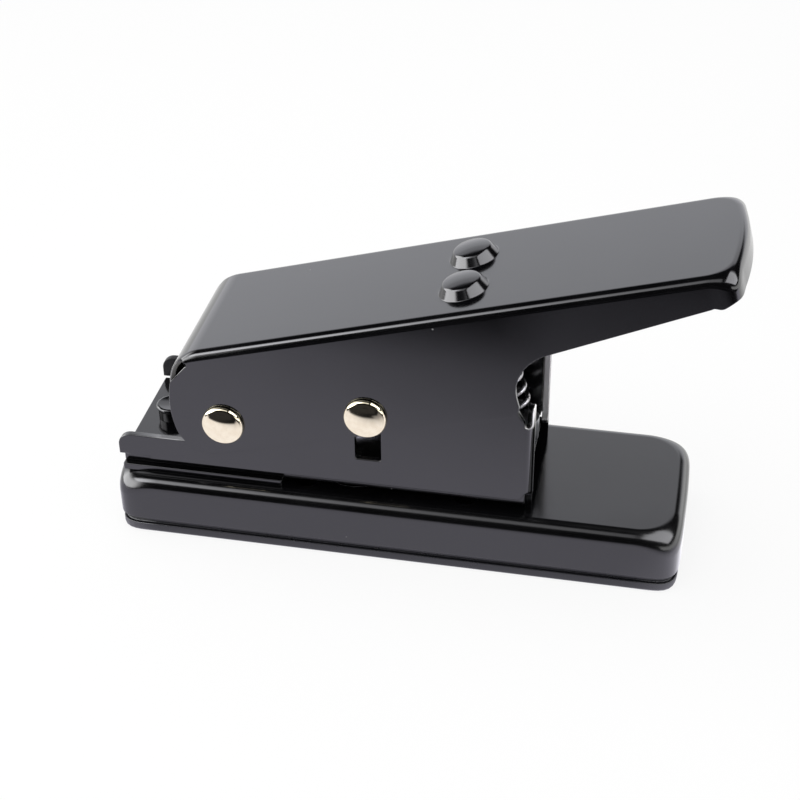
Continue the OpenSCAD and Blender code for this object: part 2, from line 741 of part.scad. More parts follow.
// Side view of the handle in its own plane: pivot pin at the origin, top panel at handle_rise
module handle_outline() {
    heel_c = [heel_r - flange_back, heel_r - flange_drop];
    back_c = [flange_back_r - flange_back, heel_c.y];
    // Rear edge: a heel below and a flatter arc above it
    intersection() {
        translate(heel_c) circle(heel_r);
        translate([-flange_back, -flange_drop]) square([flange_back, heel_r]);
    }
    intersection() {
        translate(back_c) circle(flange_back_r);
        translate([-flange_back, back_c.y]) square([flange_back + fold_r, handle_rise - back_c.y]);
    }
    // Deep flange with a rounded toe
    translate([heel_c.x, -flange_drop])
        square([flange_front - toe_r - heel_c.x, handle_rise + flange_drop]);
    translate([flange_front - 2 * toe_r, toe_r - flange_drop])
        square([2 * toe_r, handle_rise + flange_drop - toe_r]);
    translate([flange_front - toe_r, toe_r - flange_drop]) circle(toe_r);
    // Tapered grip, with a round step down to the flange
    grip_root = grip_low - (nose_start - flange_front) * tan(grip_taper);
    polygon([[flange_front - past, handle_rise], [flange_front - past, grip_root],
             [flange_front, grip_root], [nose_start, grip_low], [nose_start, handle_rise]]);
    difference() {
        polygon([[flange_front - past, step_low], [step_x, step_low],
                 [step_x - grip_step_r * sin(grip_taper), step_low + grip_step_r * cos(grip_taper)],
                 [flange_front - past, grip_root]]);
        translate([step_x, step_low]) circle(grip_step_r);
    }
    // Nose
    translate([nose_start, handle_rise - nose_depth]) square([nose_corner_r + past, nose_depth]);
}

// Crowned cone of a pressed dimple, foot at Z = 0, drawn on below the foot and set in by a wall
module dimple(below, wall = 0) {
    lean = (dimple_d - dimple_top_d) / 2 / (dimple_h - dimple_crown);
    foot_r = dimple_d / 2 - wall;
    intersection() {
        translate([0, 0, -below])
            cylinder(h = below + dimple_h, r1 = foot_r + lean * below, r2 = foot_r - lean * dimple_h);
        translate([0, 0, dimple_h - crown_r]) sphere(crown_r);
    }
}

// Pressed lever: panel, side flanges and nose cut from one drawn shell, with a curled rear lip
module handle() {
    shell_length = 2 * (handle_reach + flange_back + nose_corner_r);
    shell_height = handle_rise + flange_drop;
    lip_half = handle_inner - lip_gap;
    color(paint) at_handle() difference() {
        union() {
            intersection() {
                difference() {
                    translate([handle_reach - shell_length / 2, 0, -flange_drop])
                        drawn_block(shell_length, 2 * handle_half, shell_height, nose_corner_r, fold_r);
                    translate([handle_reach - shell_length / 2, 0, -flange_drop - past])
                        drawn_block(shell_length - 2 * handle_sheet, 2 * handle_inner,
                                    shell_height - handle_sheet + past, nose_corner_r - handle_sheet,
                                    fold_r - handle_sheet);
                    // Relief behind the panel, for the lip
                    translate([-flange_back - past, -handle_inner, 0])
                        cube([flange_back + past, 2 * handle_inner, handle_rise + past]);
                }
                upright_plate(-handle_half - past, handle_half + past) handle_outline();
            }
            translate([0, lip_half, handle_rise - lip_r]) rotate([90, 0, 0])
                rotate([0, 0, 90]) rotate_extrude(angle = lip_angle)
                    translate([lip_r - handle_sheet, 0]) square([handle_sheet, 2 * lip_half]);
            translate([0, 0, handle_rise]) at_springs() dimple(handle_sheet / 2);
        }
        translate([0, 0, dimple_low]) at_springs() dimple(past, dimple_wall);
        translate([0, handle_half + past, 0]) rotate([90, 0, 0])
            cylinder(h = 2 * (handle_half + past), d = pin_d + 2 * pin_fit);
        drive_slot();
    }
}

// Lengthwise holes in both flanges that let the drive pin keep to its upright slot
module drive_slot() {
    play = pin_fit + (max(drive_vs) - min(drive_vs)) / 2;
    middle_v = (max(drive_vs) + min(drive_vs)) / 2;
    length = 2 * (handle_half + past);
    for (u = [min(drive_us), max(drive_us)])
        translate([u, length / 2, middle_v]) rotate([90, 0, 0]) cylinder(h = length, r = pin_r + play);
    translate([min(drive_us), -length / 2, middle_v - pin_r - play])
        cube([max(drive_us) - min(drive_us), length, 2 * (pin_r + play)]);
}

// Wire of one spring as a path up its axis: straight end, elbow, coils, elbow, straight end.
// Each entry is [point, direction, side], with the side square to the wire.
coil_rings = 8;
elbow_rings = 3;
wire_sides = 6;
coil_low = spring_low + spring_gap + spring_wire + spring_elbow;
coil_high = spring_top - spring_wire - spring_elbow;
coil_rise = (coil_high - coil_low) / (360 * spring_coils);
function turned(angle) = [cos(angle), sin(angle), 0];
function coil_step(angle) =
    let (way = turned(angle + 90) + [0, 0, coil_rise * 180 / PI / spring_r])
    [spring_r * turned(angle) + [0, 0, coil_low + coil_rise * angle], way / norm(way), turned(angle)];
// Point on an elbow, kept on the coils' cylinder, that leads from the coils (bend = 0)
// to the axis direction (bend = 90)
function elbow_step(angle, level, up, bend) =
    let (place = angle + up * spring_elbow * sin(bend) / spring_r * 180 / PI)
    [spring_r * turned(place) + [0, 0, level + up * spring_elbow * (1 - cos(bend))],
     cos(bend) * turned(place + 90) + [0, 0, sin(bend)], turned(place)];
function end_step(angle, level, up) =
    let (elbow = elbow_step(angle, level, up, 90))
    [elbow[0] + [0, 0, up * spring_wire], elbow[1], elbow[2]];
last_angle = 360 * spring_coils;
bends = [for (i = [1:elbow_rings]) 90 * i / elbow_rings];
spring_path = [
    end_step(0, coil_low, -1),
    for (i = [elbow_rings - 1:-1:0]) elbow_step(0, coil_low, -1, bends[i]),
    for (i = [0:coil_rings * spring_coils]) coil_step(360 * i / coil_rings),
    for (bend = bends) elbow_step(last_angle, coil_high, 1, bend),
    end_step(last_angle, coil_high, 1)
];
wire_rings = len(spring_path);
wire_points = [for (step = spring_path, i = [0:wire_sides - 1])
    let (angle = 360 * i / wire_sides)
    step[0] + spring_wire / 2 * (cos(angle) * step[2] + sin(angle) * cross(step[1], step[2]))];
wire_faces = [
    for (ring = [0:wire_rings - 2], i = [0:wire_sides - 1]) let (
        a = ring * wire_sides + i,
        b = ring * wire_sides + (i + 1) % wire_sides
    ) each [[a, a + wire_sides, b], [b, a + wire_sides, b + wire_sides]],
    for (i = [1:wire_sides - 2]) [0, i, i + 1],
    for (i = [1:wire_sides - 2]) let (top = (wire_rings - 1) * wire_sides) [top, top + i + 1, top + i]
];
// Least gap of the wire to itself, between points at least half a coil apart
wire_gap = min([for (i = [0:wire_rings - 1], j = [i + coil_rings / 2:1:wire_rings - 1])
    norm(spring_path[i][0] - spring_path[j][0])]) - spring_wire;
echo(least_gap_of_spring_wire = wire_gap);

// One return spring, square to the top panel
module return_spring(side) {
    color(steel) at_handle() translate([spring_reach, side * spring_spacing / 2, 0])
        polyhedron(wire_points, wire_faces, convexity = 20);
}

module return_spring_near() {
    return_spring(-1);
}

module return_spring_far() {
    return_spring(1);
}

// Pick-shaped punch, with a shallow V across its face so that its ends cut first
module punch() {
    face_half = pick_length / 2;
    color(steel) difference() {
        pick_prism(punch_low, punch_top);
        translate([die_centre_x, 0, punch_low]) upright_plate(-pick_width, pick_width)
            polygon([[-face_half, 0], [-face_half, -past], [face_half, -past], [face_half, 0],
                     [0, punch_hollow]]);
        at_yoke_screws() translate([0, 0, punch_top - screw_depth])
            cylinder(h = screw_depth + past, d = screw_d + 2 * rivet_fit);
    }
}

// Bracket on the punch whose ears hang on the drive pin
module punch_yoke() {
    ear_r = yoke_width / 2;
    ear_h = drive_z + ear_r - punch_top;
    color(zinc) difference() {
        intersection() {
            translate([drive_x - ear_r, 0, punch_top + ear_h]) rotate([90, 0, 90]) mirror([0, 1, 0])
                linear_extrude(yoke_width) difference() {
                    arch_section(2 * yoke_half, ear_h, yoke_bend_r);
                    translate([0, -past])
                        arch_section(2 * (yoke_half - yoke_sheet), ear_h - yoke_sheet + past,
                                     yoke_bend_r - yoke_sheet);
                }
            upright_plate(-frame_half, frame_half) {
                translate([drive_x - ear_r, punch_top]) square([yoke_width, drive_z - punch_top]);
                translate([drive_x, drive_z]) circle(ear_r);
            }
        }
        translate([drive_x, frame_half, drive_z]) rotate([90, 0, 0])
            cylinder(h = frame_width, d = pin_d + 2 * rivet_fit);
        at_yoke_screws() translate([0, 0, punch_top - past])
            cylinder(h = yoke_sheet + 2 * past, d = screw_d + 2 * rivet_fit);
    }
}

// Screws from the yoke into the punch, with a six-sided socket
module yoke_screws() {
    color(zinc) at_yoke_screws() difference() {
        union() {
            translate([0, 0, punch_top - screw_depth])
                cylinder(h = screw_depth + yoke_sheet, d = screw_d);
            translate([0, 0, yoke_top]) domed_head(screw_head_d, screw_head_h, screw_head_rim);
        }
        translate([0, 0, yoke_top + screw_head_h - socket_depth])
            cylinder(h = screw_head_h, d = socket_d, $fn = 6);
    }
}

base_shell();
bottom_cover();
spacer_plate();
die_plate();
die_rivets();
frame();
guide_plate();
guide_rivets();
rear_post();
spring_seats();
pivot_pin();
pivot_pin_cap();
pivot_spacer_tube();
handle();
return_spring_near();
return_spring_far();
punch();
punch_yoke();
yoke_screws();
drive_pin();
drive_pin_cap();
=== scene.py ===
"""Hand lever punch for plectrums: its pieces with their finishes, and the studio they stand in."""
from collections import namedtuple

import bpy
import numpy as np
from bpy.props import FloatProperty, FloatVectorProperty, IntProperty, PointerProperty
from bpy.types import NodeSocket, Operator, Panel, PropertyGroup
from mathutils import Matrix, Vector
from mathutils.geometry import delaunay_2d_cdt


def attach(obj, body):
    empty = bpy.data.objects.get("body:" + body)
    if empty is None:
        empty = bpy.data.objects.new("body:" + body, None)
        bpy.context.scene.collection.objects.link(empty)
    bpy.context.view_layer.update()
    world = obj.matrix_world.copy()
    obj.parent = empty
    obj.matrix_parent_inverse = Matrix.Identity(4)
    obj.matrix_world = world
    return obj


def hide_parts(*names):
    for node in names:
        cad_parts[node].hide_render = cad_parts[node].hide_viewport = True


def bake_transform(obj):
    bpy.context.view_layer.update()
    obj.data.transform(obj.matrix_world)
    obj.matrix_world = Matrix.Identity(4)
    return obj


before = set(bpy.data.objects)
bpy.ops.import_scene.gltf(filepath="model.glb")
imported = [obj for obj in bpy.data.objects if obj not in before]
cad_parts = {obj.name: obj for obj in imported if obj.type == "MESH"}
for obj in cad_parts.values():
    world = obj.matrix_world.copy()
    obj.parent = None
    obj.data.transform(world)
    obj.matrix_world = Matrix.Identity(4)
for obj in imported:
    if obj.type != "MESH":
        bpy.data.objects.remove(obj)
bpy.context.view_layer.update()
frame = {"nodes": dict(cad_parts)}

bl_info = {
    "name": "Plectrum Lever Punch",
    "version": (1, 0, 0),
    "blender": (4, 5, 0),
    "location": "3D View > Sidebar > Lever Punch",
    "description": "Builds the pieces of a lever punch for plectrums, their finishes and a studio",
    "category": "Object",
}

MM = 0.001
QUARTER = np.pi / 2
SIDES = np.array([-1.0, 1.0])
X_AXIS, Y_AXIS, Z_AXIS = np.eye(3)
WHITE = (1, 1, 1)

# Radius at which a turned profile ends beside its axis, and the share of a cap's radius there
AXIS_R = 0.1 * MM
CAP_END = 0.06

# Points and their normals, one row each, and arrays of three- or four-sided faces
Surface = namedtuple("Surface", "points normals faces")


# Properties

def length(name, millimetres, description):
    """Length in metres, with its default given in millimetres."""
    return FloatProperty(name=name, description=description, default=millimetres * MM,
                         unit="LENGTH", precision=5)


def angle(name, degrees, description):
    """Angle in radians, with its default given in degrees."""
    return FloatProperty(name=name, description=description, default=float(np.radians(degrees)),
                         unit="ROTATION")


def share(name, value, description):
    """Plain number from 0 to 1."""
    return FloatProperty(name=name, description=description, default=value, min=0, max=1,
                         subtype="FACTOR", precision=3)


def number(name, value, description):
    """Plain number."""
    return FloatProperty(name=name, description=description, default=value, precision=3)


def count(name, value, description):
    """Whole number."""
    return IntProperty(name=name, description=description, default=value, min=1)


def colour(name, value, description):
    """Linear colour."""
    return FloatVectorProperty(name=name, description=description, default=value, size=3,
                               subtype="COLOR", min=0, max=1)


class BaseSizes(PropertyGroup):
    """Base shell and bottom cover."""
    length: length("Length", 128, "Length of the base")
    width: length("Width", 40, "Width of the base")
    top: length("Top", 15, "Height of the base's top above the table")
    corner_r: length("Corner radius", 7, "Radius of the corners, seen from above")
    flat_r: length("Flat corner", 7.5, "Radius of the flat top's corners")
    corner_power: number("Corner power", 5, "Power of the superellipse that the corners follow")
    end_bow: length("End bow", 0.6, "Bow of the base's ends, seen from above")
    edge_r: length("Edge radius", 3, "Radius of the upper edge")
    sheet: length("Sheet", 1.2, "Thickness of the base's sheet")
    rim_r: length("Rim radius", 0.3, "Rounding of the sheet's cut edges")
    cover_top: length("Cover top", 4, "Height of the base's lower edge, on the cover")
    cover_floor: length("Cover floor", 1.2, "Thickness of the cover's floor")
    cover_inset: length("Cover inset", 0.3, "Rim of the cover, set in behind the base's outside")
    cover_foot_r: length("Cover foot radius", 0.9, "Radius of the cover's lower edge")
    lip_top: length("Lip top", 8.5, "Height of the cover's lip inside the base")
    lip_out: length("Lip outside", 1.5, "Lip's outside, set in behind the base's outside")
    lip_in: length("Lip inside", 2.7, "Lip's inside, set in behind the base's outside")
    recess_low: length("Recess foot", 2.4, "Height of the recess's lower edge")
    recess_depth: length("Recess depth", 0.8, "Depth of the recess between base and cover")


class PlateSizes(PropertyGroup):
    """Guide plate, spacer plate and the pick-shaped tools."""
    rear: length("Rear", -61.8, "Place of the plates' rear edge")
    stop: length("Card stop", -24.9, "Place of the spacer's front edge")
    front: length("Front", 29.3, "Place of the guide plate's front edge")
    guide_half: length("Guide half width", 15.1, "Half the width of the guide plate")
    spacer_half: length("Spacer half width", 16.6, "Half the width of the spacer plate")
    spacer_top: length("Spacer top", 16.6, "Height of the spacer plate's top")
    guide_top: length("Guide top", 19.1, "Height of the guide plate's top")
    rim_r: length("Rim radius", 0.2, "Rounding of the plates' edges")
    pick_back: length("Pick back", -17, "Place of the pick's back edge")
    pick_length: length("Pick length", 30, "Length of the pick")
    pick_width: length("Pick width", 26, "Width of the pick over its shoulders")
    tip_r: length("Tip radius", 3, "Radius of the pick's tip")
    shoulder_r: length("Shoulder radius", 6, "Radius of the pick's shoulders")
    side_r: length("Side radius", 48, "Radius of the pick's sides")
    back_r: length("Back radius", 34, "Radius of the pick's back edge")
    punch_fit: length("Punch fit", 0.06, "Gap between the punch and the guide plate")
    chip_relief: length("Chip relief", 0.5, "Widening of the base's opening round the pick")
    punch_low: length("Punch face", 17.3, "Height of the punch's face at rest")
    punch_top: length("Punch top", 29.3, "Height of the punch's top at rest")
    punch_hollow: length("Punch hollow", 0.5, "Depth of the V in the punch's face")


class FrameSizes(PropertyGroup):
    """Cheeks, front web and yoke."""
    half: length("Half width", 16.6, "Half the width over the cheeks")
    sheet: length("Sheet", 1.5, "Thickness of the frame's sheet")
    bend_r: length("Bend radius", 2, "Outer radius of the front bends")
    web_front: length("Web front", 30.8, "Place of the web's front face")
    rear: length("Rear", -62.3, "Place of the tongues' ends")
    low: length("Cheek foot", 18.6, "Height of the cheeks' lower edges")
    top: length("Cheek top", 44.6, "Height of the cheeks' tops")
    tongue: length("Tongue height", 6.2, "Height of the rear tongues")
    tongue_r: length("Tongue corner", 3, "Radius of the tongues' upper corner")
    tongue_gap: length("Tongue gap", 0.3, "Gap between the tongues' ends and the guide plate")
    tongue_step: length("Tongue step", 7, "Length of the raised part of the tongues")
    boss_r: length("Boss radius", 9.2, "Radius of the cheeks' round end")
    shoulder: length("Shoulder", -10.6, "Place where the cheeks reach their full height")
    notch: length("Notch depth", 6.8, "Depth of the bend relief")
    notch_lean: length("Notch lean", 3, "How far the cheek leans back along the relief")
    corner_r: length("Corner radius", 1, "Radius of the small corners")
    rim_r: length("Rim radius", 0.25, "Rounding of the sheet's cut edges")
    slot_low: length("Slot foot", 25.07, "Height of the drive slot's lower end")
    slot_top: length("Slot top", 40.16, "Height of the drive slot's upper end")
    slot_half: length("Slot half width", 2.86, "Half the width of the drive slot")
    upright: length("Upright width", 1.4, "Width of the uprights beside the front opening")
    upright_bend: length("Upright bend", 1.4, "Part of the bend that stays on each upright")
    upright_drop: length("Upright drop", 1.9, "Distance from the cheeks' to the uprights' tops")
    tab: length("Tab width", 7, "Width of each tab under the web")
    tab_at: length("Tab place", 8, "Distance of the tabs from the middle")
    tab_low: length("Tab foot", 12.3, "Height of the tabs' bent ends")
    tab_length: length("Tab length", 5, "Length of the tabs' bent ends")
    yoke_half: length("Yoke half width", 14.8, "Half the width over the yoke's ears")
    yoke_sheet: length("Yoke sheet", 2, "Thickness of the yoke's sheet")
    yoke_bend_r: length("Yoke bend", 2.8, "Outer radius of the yoke's bends")
    yoke_ear_r: length("Yoke ear", 6, "Radius of the yoke's ears")


class HandleSizes(PropertyGroup):
    """Pressed handle, in its own plane with the pivot pin at the origin."""
    tilt: angle("Tilt", 15.5, "Angle of the top panel above level at rest")
    half: length("Half width", 17.9, "Half the width over the flanges")
    sheet: length("Sheet", 1.1, "Thickness of the handle's sheet")
    rise: length("Rise", 18.3, "Height of the top panel above the pivot pin")
    reach: length("Reach", 116, "Length from the pivot pin to the nose")
    fold_r: length("Fold radius", 2, "Outer radius of the folds along the top panel")
    flat_r: length("Flat corner", 5.3, "Radius of the flat panel's corners at the nose")
    corner_power: number("Corner power", 5, "Power of the superellipse at the nose's corners")
    bow_r: length("Nose bow", 75, "Radius of the nose's bowed front, seen from above")
    nose_depth: length("Nose depth", 5.7, "Depth of the nose's front below the top panel")
    lobe_depth: length("Lobe depth", 7.35, "Depth of the lobes below the nose's corners")
    grip_end: length("Grip end", 108.4, "Place where the grip meets the nose")
    grip_depth: length("Grip depth", 6.9, "Depth of the grip just behind the nose")
    taper: angle("Grip taper", 8.8, "Angle between the grip's lower edge and the panel")
    hole_r: length("Pivot hole", 2.86, "Radius of the pivot pin's holes")
    slot_r: length("Slot radius", 2.887, "Radius of the ends of the drive pin's slots")
    slot_rear: length("Slot rear", 31.71, "Place of the slots' rear end, before the pivot pin")
    slot_front: length("Slot front", 32.2, "Place of the slots' front end, before the pivot pin")
    slot_z: length("Slot height", -2.883, "Height of the slots above the pivot pin")
    step_r: length("Step radius", 10, "Radius of the step from flange to grip")
    drop: length("Flange drop", 7.6, "Depth of the flanges below the pivot pin")
    back: length("Flange back", 11.3, "Reach of the flanges behind the pivot pin")
    front: length("Flange front", 65.4, "Reach of the flanges before the pivot pin")
    back_r: length("Back radius", 25, "Radius of the flanges' rear edge")
    back_top: length("Back top", 12.2, "Height of the flanges' rear corner above the pivot pin")
    heel_r: length("Heel radius", 8, "Radius of the flanges' heel")
    toe_r: length("Toe radius", 2.5, "Radius of the flanges' lower front corner")
    lip_half: length("Lip half width", 16.6, "Half the width of the curled lip at its end")
    slit_x: length("Slit end", -3.7, "Place where the slit beside the lip ends")
    slit_r: length("Slit radius", 0.5, "Radius of the slit's round end")
    slit_fold: length("Slit place", 3.6, "Distance of the slit from the fold, along the sheet")
    lip_r: length("Lip radius", 9.5, "Outer radius of the curled lip")
    lip_angle: angle("Lip angle", 75, "Angle that the lip is curled through")
    rim_r: length("Rim radius", 0.25, "Rounding of the sheet's cut edges")
    dimple_at: length("Dimple place", 57.8, "Distance of the dimples from the pivot pin")
    dimple_side: length("Dimple side", 6.9, "Distance of the dimples from the middle")
    dimple_r: length("Dimple foot", 5.4, "Radius of a dimple at the panel")
    dimple_top_r: length("Dimple top", 4.05, "Radius of a dimple's crowned top")
    dimple_h: length("Dimple height", 2.72, "Height of a dimple")
    dimple_crown: length("Dimple crown", 0.5, "Height of the crown on a dimple")


class PinSizes(PropertyGroup):
    """Pins, rivets, post and screws."""
    pivot_x: length("Pivot place", -36.8, "Place of the pivot pin along the base")
    pivot_z: length("Pivot height", 31.5, "Height of the pivot pin")
    drive_x: length("Drive place", -5, "Place of the drive pin along the base")
    drive_z: length("Drive height", 37.3, "Height of the drive pin at rest")
    r: length("Pin radius", 2.8, "Radius of both pins")
    seat: length("Head seat", 18.02, "Distance of the heads from the middle")
    head_r: length("Head radius", 4.7, "Radius of the domed heads")
    head_h: length("Head height", 1.9, "Height of the domed heads")
    head_rim: length("Head rim", 0.4, "Height of the heads' straight rim")
    head_round: length("Head round", 0.8, "Radius of the round between the heads' rim and crown")
    spigot_r: length("Spigot radius", 1.6, "Radius of the spigot in the cap")
    tube_r: length("Tube radius", 4.2, "Radius of the spacer tube")
    fit: length("Fit", 0.02, "Gap round fixed pins and rivets")
    rivet_r: length("Rivet radius", 1.6, "Radius of the rivets")
    rivet_head_r: length("Rivet head radius", 2.7, "Radius of the rivets' heads")
    rivet_head_h: length("Rivet head height", 0.8, "Height of the rivets' heads")
    guide_rivet_x: length("Guide rivet place", -29.9, "Place of the guide rivets")
    guide_rivet_y: length("Guide rivet side", 10, "Distance of the guide rivets from the middle")
    die_rivet_x: length("Die rivet place", 18, "Distance of the die rivets from the die's middle")
    die_rivet_y: length("Die rivet side", 12.8, "Distance of the die rivets from the middle")
    die_x: length("Die place", -2, "Place of the die's middle")
    die_low: length("Die foot", 10.8, "Height of the die plate's underside")
    post_x: length("Post place", -55.3, "Place of the rear post")
    post_r: length("Post radius", 3, "Radius of the rear post")
    post_head_r: length("Post head radius", 3.4, "Radius of the rear post's rolled head")
    post_head_h: length("Post head height", 1.2, "Height of the rear post's rolled head")
    post_top: length("Post top", 22.7, "Height of the rear post's top")
    post_dish: length("Post dish", 0.2, "Depth of the dish in the post's head")
    screw_y: length("Screw side", 6, "Distance of the yoke screws from the middle")
    screw_r: length("Screw radius", 2, "Radius of the yoke screws")
    screw_head_r: length("Screw head radius", 3.4, "Radius of the screws' heads")
    screw_head_h: length("Screw head height", 2, "Height of the screws' heads")
    screw_depth: length("Screw depth", 8, "Depth of the screws in the punch")
    socket_r: length("Socket radius", 1.7, "Radius of the sockets over their corners")
    socket_depth: length("Socket depth", 1.3, "Depth of the sockets")
    rim_r: length("Rim radius", 0.15, "Rounding of turned edges")


class SpringSizes(PropertyGroup):
    """Return springs, along the handle's own upright."""
    r: length("Coil radius", 2.8, "Radius of the coils to the wire's middle")
    wire_r: length("Wire radius", 0.6, "Radius of the spring wire")
    coils: count("Coils", 12, "Number of coils")
    elbow_r: length("Elbow radius", 1.1, "Radius of the bends at the ends")
    low: length("Foot", -24.28, "Lower end along the handle's upright")
    high: length("Head", 19.36, "Upper end along the handle's upright")
    seat_r: length("Seat radius", 4, "Radius of the spring seats")
    seat_x: length("Seat place", 25.4, "Place of the spring seats")
    seat_z: length("Seat height", 23.5, "Height of the seats' middle")


class Finishes(PropertyGroup):
    """Colours and gloss of the finishes."""
    paint: colour("Paint", (0.0012, 0.0012, 0.0016), "Glossy black paint")
    paint_worn: colour("Paint, lighter", (0.0026, 0.0026, 0.0031), "Lighter clouds in the paint")
    dust: colour("Dust", (0.22, 0.22, 0.22), "Dust specks on the paint")
    # Colour of unpainted metal, used also to paint a bright highlight on the frame's uprights.
    bare: colour("Bare edge", (0.92, 0.91, 0.89), "Bare metal where the paint ends")
    paint_rough: share("Paint roughness", 0.12, "Roughness of the paint")
    paint_ior: number("Paint IOR", 1.7, "Index of refraction of the paint")
    nickel: colour("Nickel", (0.93, 0.855, 0.63), "Polished nickel")
    nickel_deep: colour("Nickel, darker", (0.87, 0.78, 0.56), "Darker clouds in the nickel")
    steel: colour("Tool steel", (0.42, 0.42, 0.43), "Ground tool steel")
    steel_deep: colour("Tool steel, darker", (0.26, 0.26, 0.27), "Grinding lines")
    zinc: colour("Zinc", (0.55, 0.56, 0.58), "Zinc-plated steel")
    zinc_deep: colour("Zinc, darker", (0.40, 0.41, 0.43), "Darker spangles in the zinc")
    wire: colour("Spring wire", (0.50, 0.50, 0.52), "Drawn spring wire")
    wire_deep: colour("Spring wire, darker", (0.28, 0.27, 0.27), "Die lines on the wire")
    plastic: colour("Plastic", (0.005, 0.005, 0.007), "Grained black plastic")
    plastic_worn: colour("Plastic, lighter", (0.010, 0.010, 0.013), "Lighter grain")


class Studio(PropertyGroup):
    """Floor, lights and camera."""
    camera: FloatVectorProperty(name="Camera", description="Place of the camera", size=3,
                                default=(0.060568, -0.296168, 0.238450), subtype="TRANSLATION",
                                unit="LENGTH")
    yaw: angle("Yaw", -11.7778, "Turn of the camera from +Y towards +X")
    pitch: angle("Pitch", 34.5489, "Angle of the camera below level")
    roll: angle("Roll", -0.79268, "Turn of the camera about its own axis")
    lens: number("Lens", 74.065, "Focal length in millimetres on a 36 mm sensor")
    floor: length("Floor", 3000, "Half the size of the floor")
    floor_share: share("Floor shadow", 0.13, "Share of shaded paper in the floor's look")
    light: number("Light", 1.6, "Power of the soft light overhead, in watts")
    fill: number("Fill", 0.7, "Strength of the light from all round")


class LeverPunch(PropertyGroup):
    """All the sizes and finishes of the lever punch."""
    base: PointerProperty(type=BaseSizes)
    plates: PointerProperty(type=PlateSizes)
    frame: PointerProperty(type=FrameSizes)
    handle: PointerProperty(type=HandleSizes)
    pins: PointerProperty(type=PinSizes)
    springs: PointerProperty(type=SpringSizes)
    finishes: PointerProperty(type=Finishes)
    studio: PointerProperty(type=Studio)


# Curves and loops

def unit(vectors):
    """Vectors at length 1."""
    size = np.linalg.norm(vectors, axis=-1, keepdims=True)
    return vectors / np.maximum(size, 1e-12)


def ways_at(turn):
    """Unit ways at angles, as their cosine and sine."""
    return np.stack([np.cos(turn), np.sin(turn)], -1)


def arc(centre, r, start, end, steps):
    """Points on a circle from one angle to another, in degrees."""
    return np.asarray(centre) + r * ways_at(np.radians(np.linspace(start, end, steps + 1)))


def circle(centre, r, steps):
    """Closed loop of points on a circle."""
    return arc(centre, r, 0, 360, steps)[:-1]


def rectangle(low, high):
    """Closed loop round a rectangle, from its first corner and the one across from it."""
    (x, y), (far_x, far_y) = low, high
    return np.array([[x, y], [far_x, y], [far_x, far_y], [x, far_y]])


def crossline(u, v):
    """Line of points at one place u along a blank, at places v across it."""
    return np.column_stack([np.full(len(v), u), v])


def smooth(t):
    """Share from 0 to 1, eased at both ends: t^2 (3 - 2 t)."""
    return t ** 2 * (3 - 2 * t)


def thinned(points, closed=True):
    """Polyline without points that repeat the one before."""
    before = np.roll(points, 1, 0)
    keep = np.linalg.norm(points - before, axis=1) > 1e-8
    if not closed:
        keep[0] = True
    return points[keep]


def rounded(points, radius, closed=True, steps=4):
    """Polyline whose corners are quadratic curves between points that lie radius from each
    corner."""
    corner = np.asarray(points, float)
    cut = np.broadcast_to(radius, len(corner))[:, None]

    def towards(other):
        """Points that lie radius from the corners on the way to others."""
        way = other - corner
        span = np.linalg.norm(way, axis=1, keepdims=True)
        return corner + way / np.maximum(span, 1e-12) * np.minimum(cut, span * 0.48)

    start, end = towards(np.roll(corner, 1, 0)), towards(np.roll(corner, -1, 0))
    if not closed:
        start[[0, -1]] = end[[0, -1]] = corner[[0, -1]]
    t = np.linspace(0, 1, steps + 1)[None, :, None]
    curve = ((1 - t) ** 2 * start[:, None] + 2 * t * (1 - t) * corner[:, None]
             + t ** 2 * end[:, None])
    return thinned(curve.reshape(-1, 2), closed)


def wound(loop, sunwise):
    """Loop that runs clockwise, or counter-clockwise, by the sign of its area."""
    x, y = loop.T
    area = np.sum(x * np.roll(y, -1) - np.roll(x, -1) * y)
    return loop[::-1] if (area < 0) != sunwise else loop


def mirrored_loop(half):
    """Closed loop from its upper half, whose ends lie on the first axis."""
    return thinned(np.concatenate([half, half[::-1] * [1, -1]]))


def outward(loop):
    """Offset of each point for a unit step to the loop's right: the mitred sum of its sides'
    normals."""
    way = unit(np.roll(loop, -1, 0) - loop)
    side = np.stack([way[:, 1], -way[:, 0]], 1)
    joint = unit(side + np.roll(side, 1, 0))
    mitre = np.maximum(np.sum(joint * side, 1, keepdims=True), 0.5)
    return joint / mitre


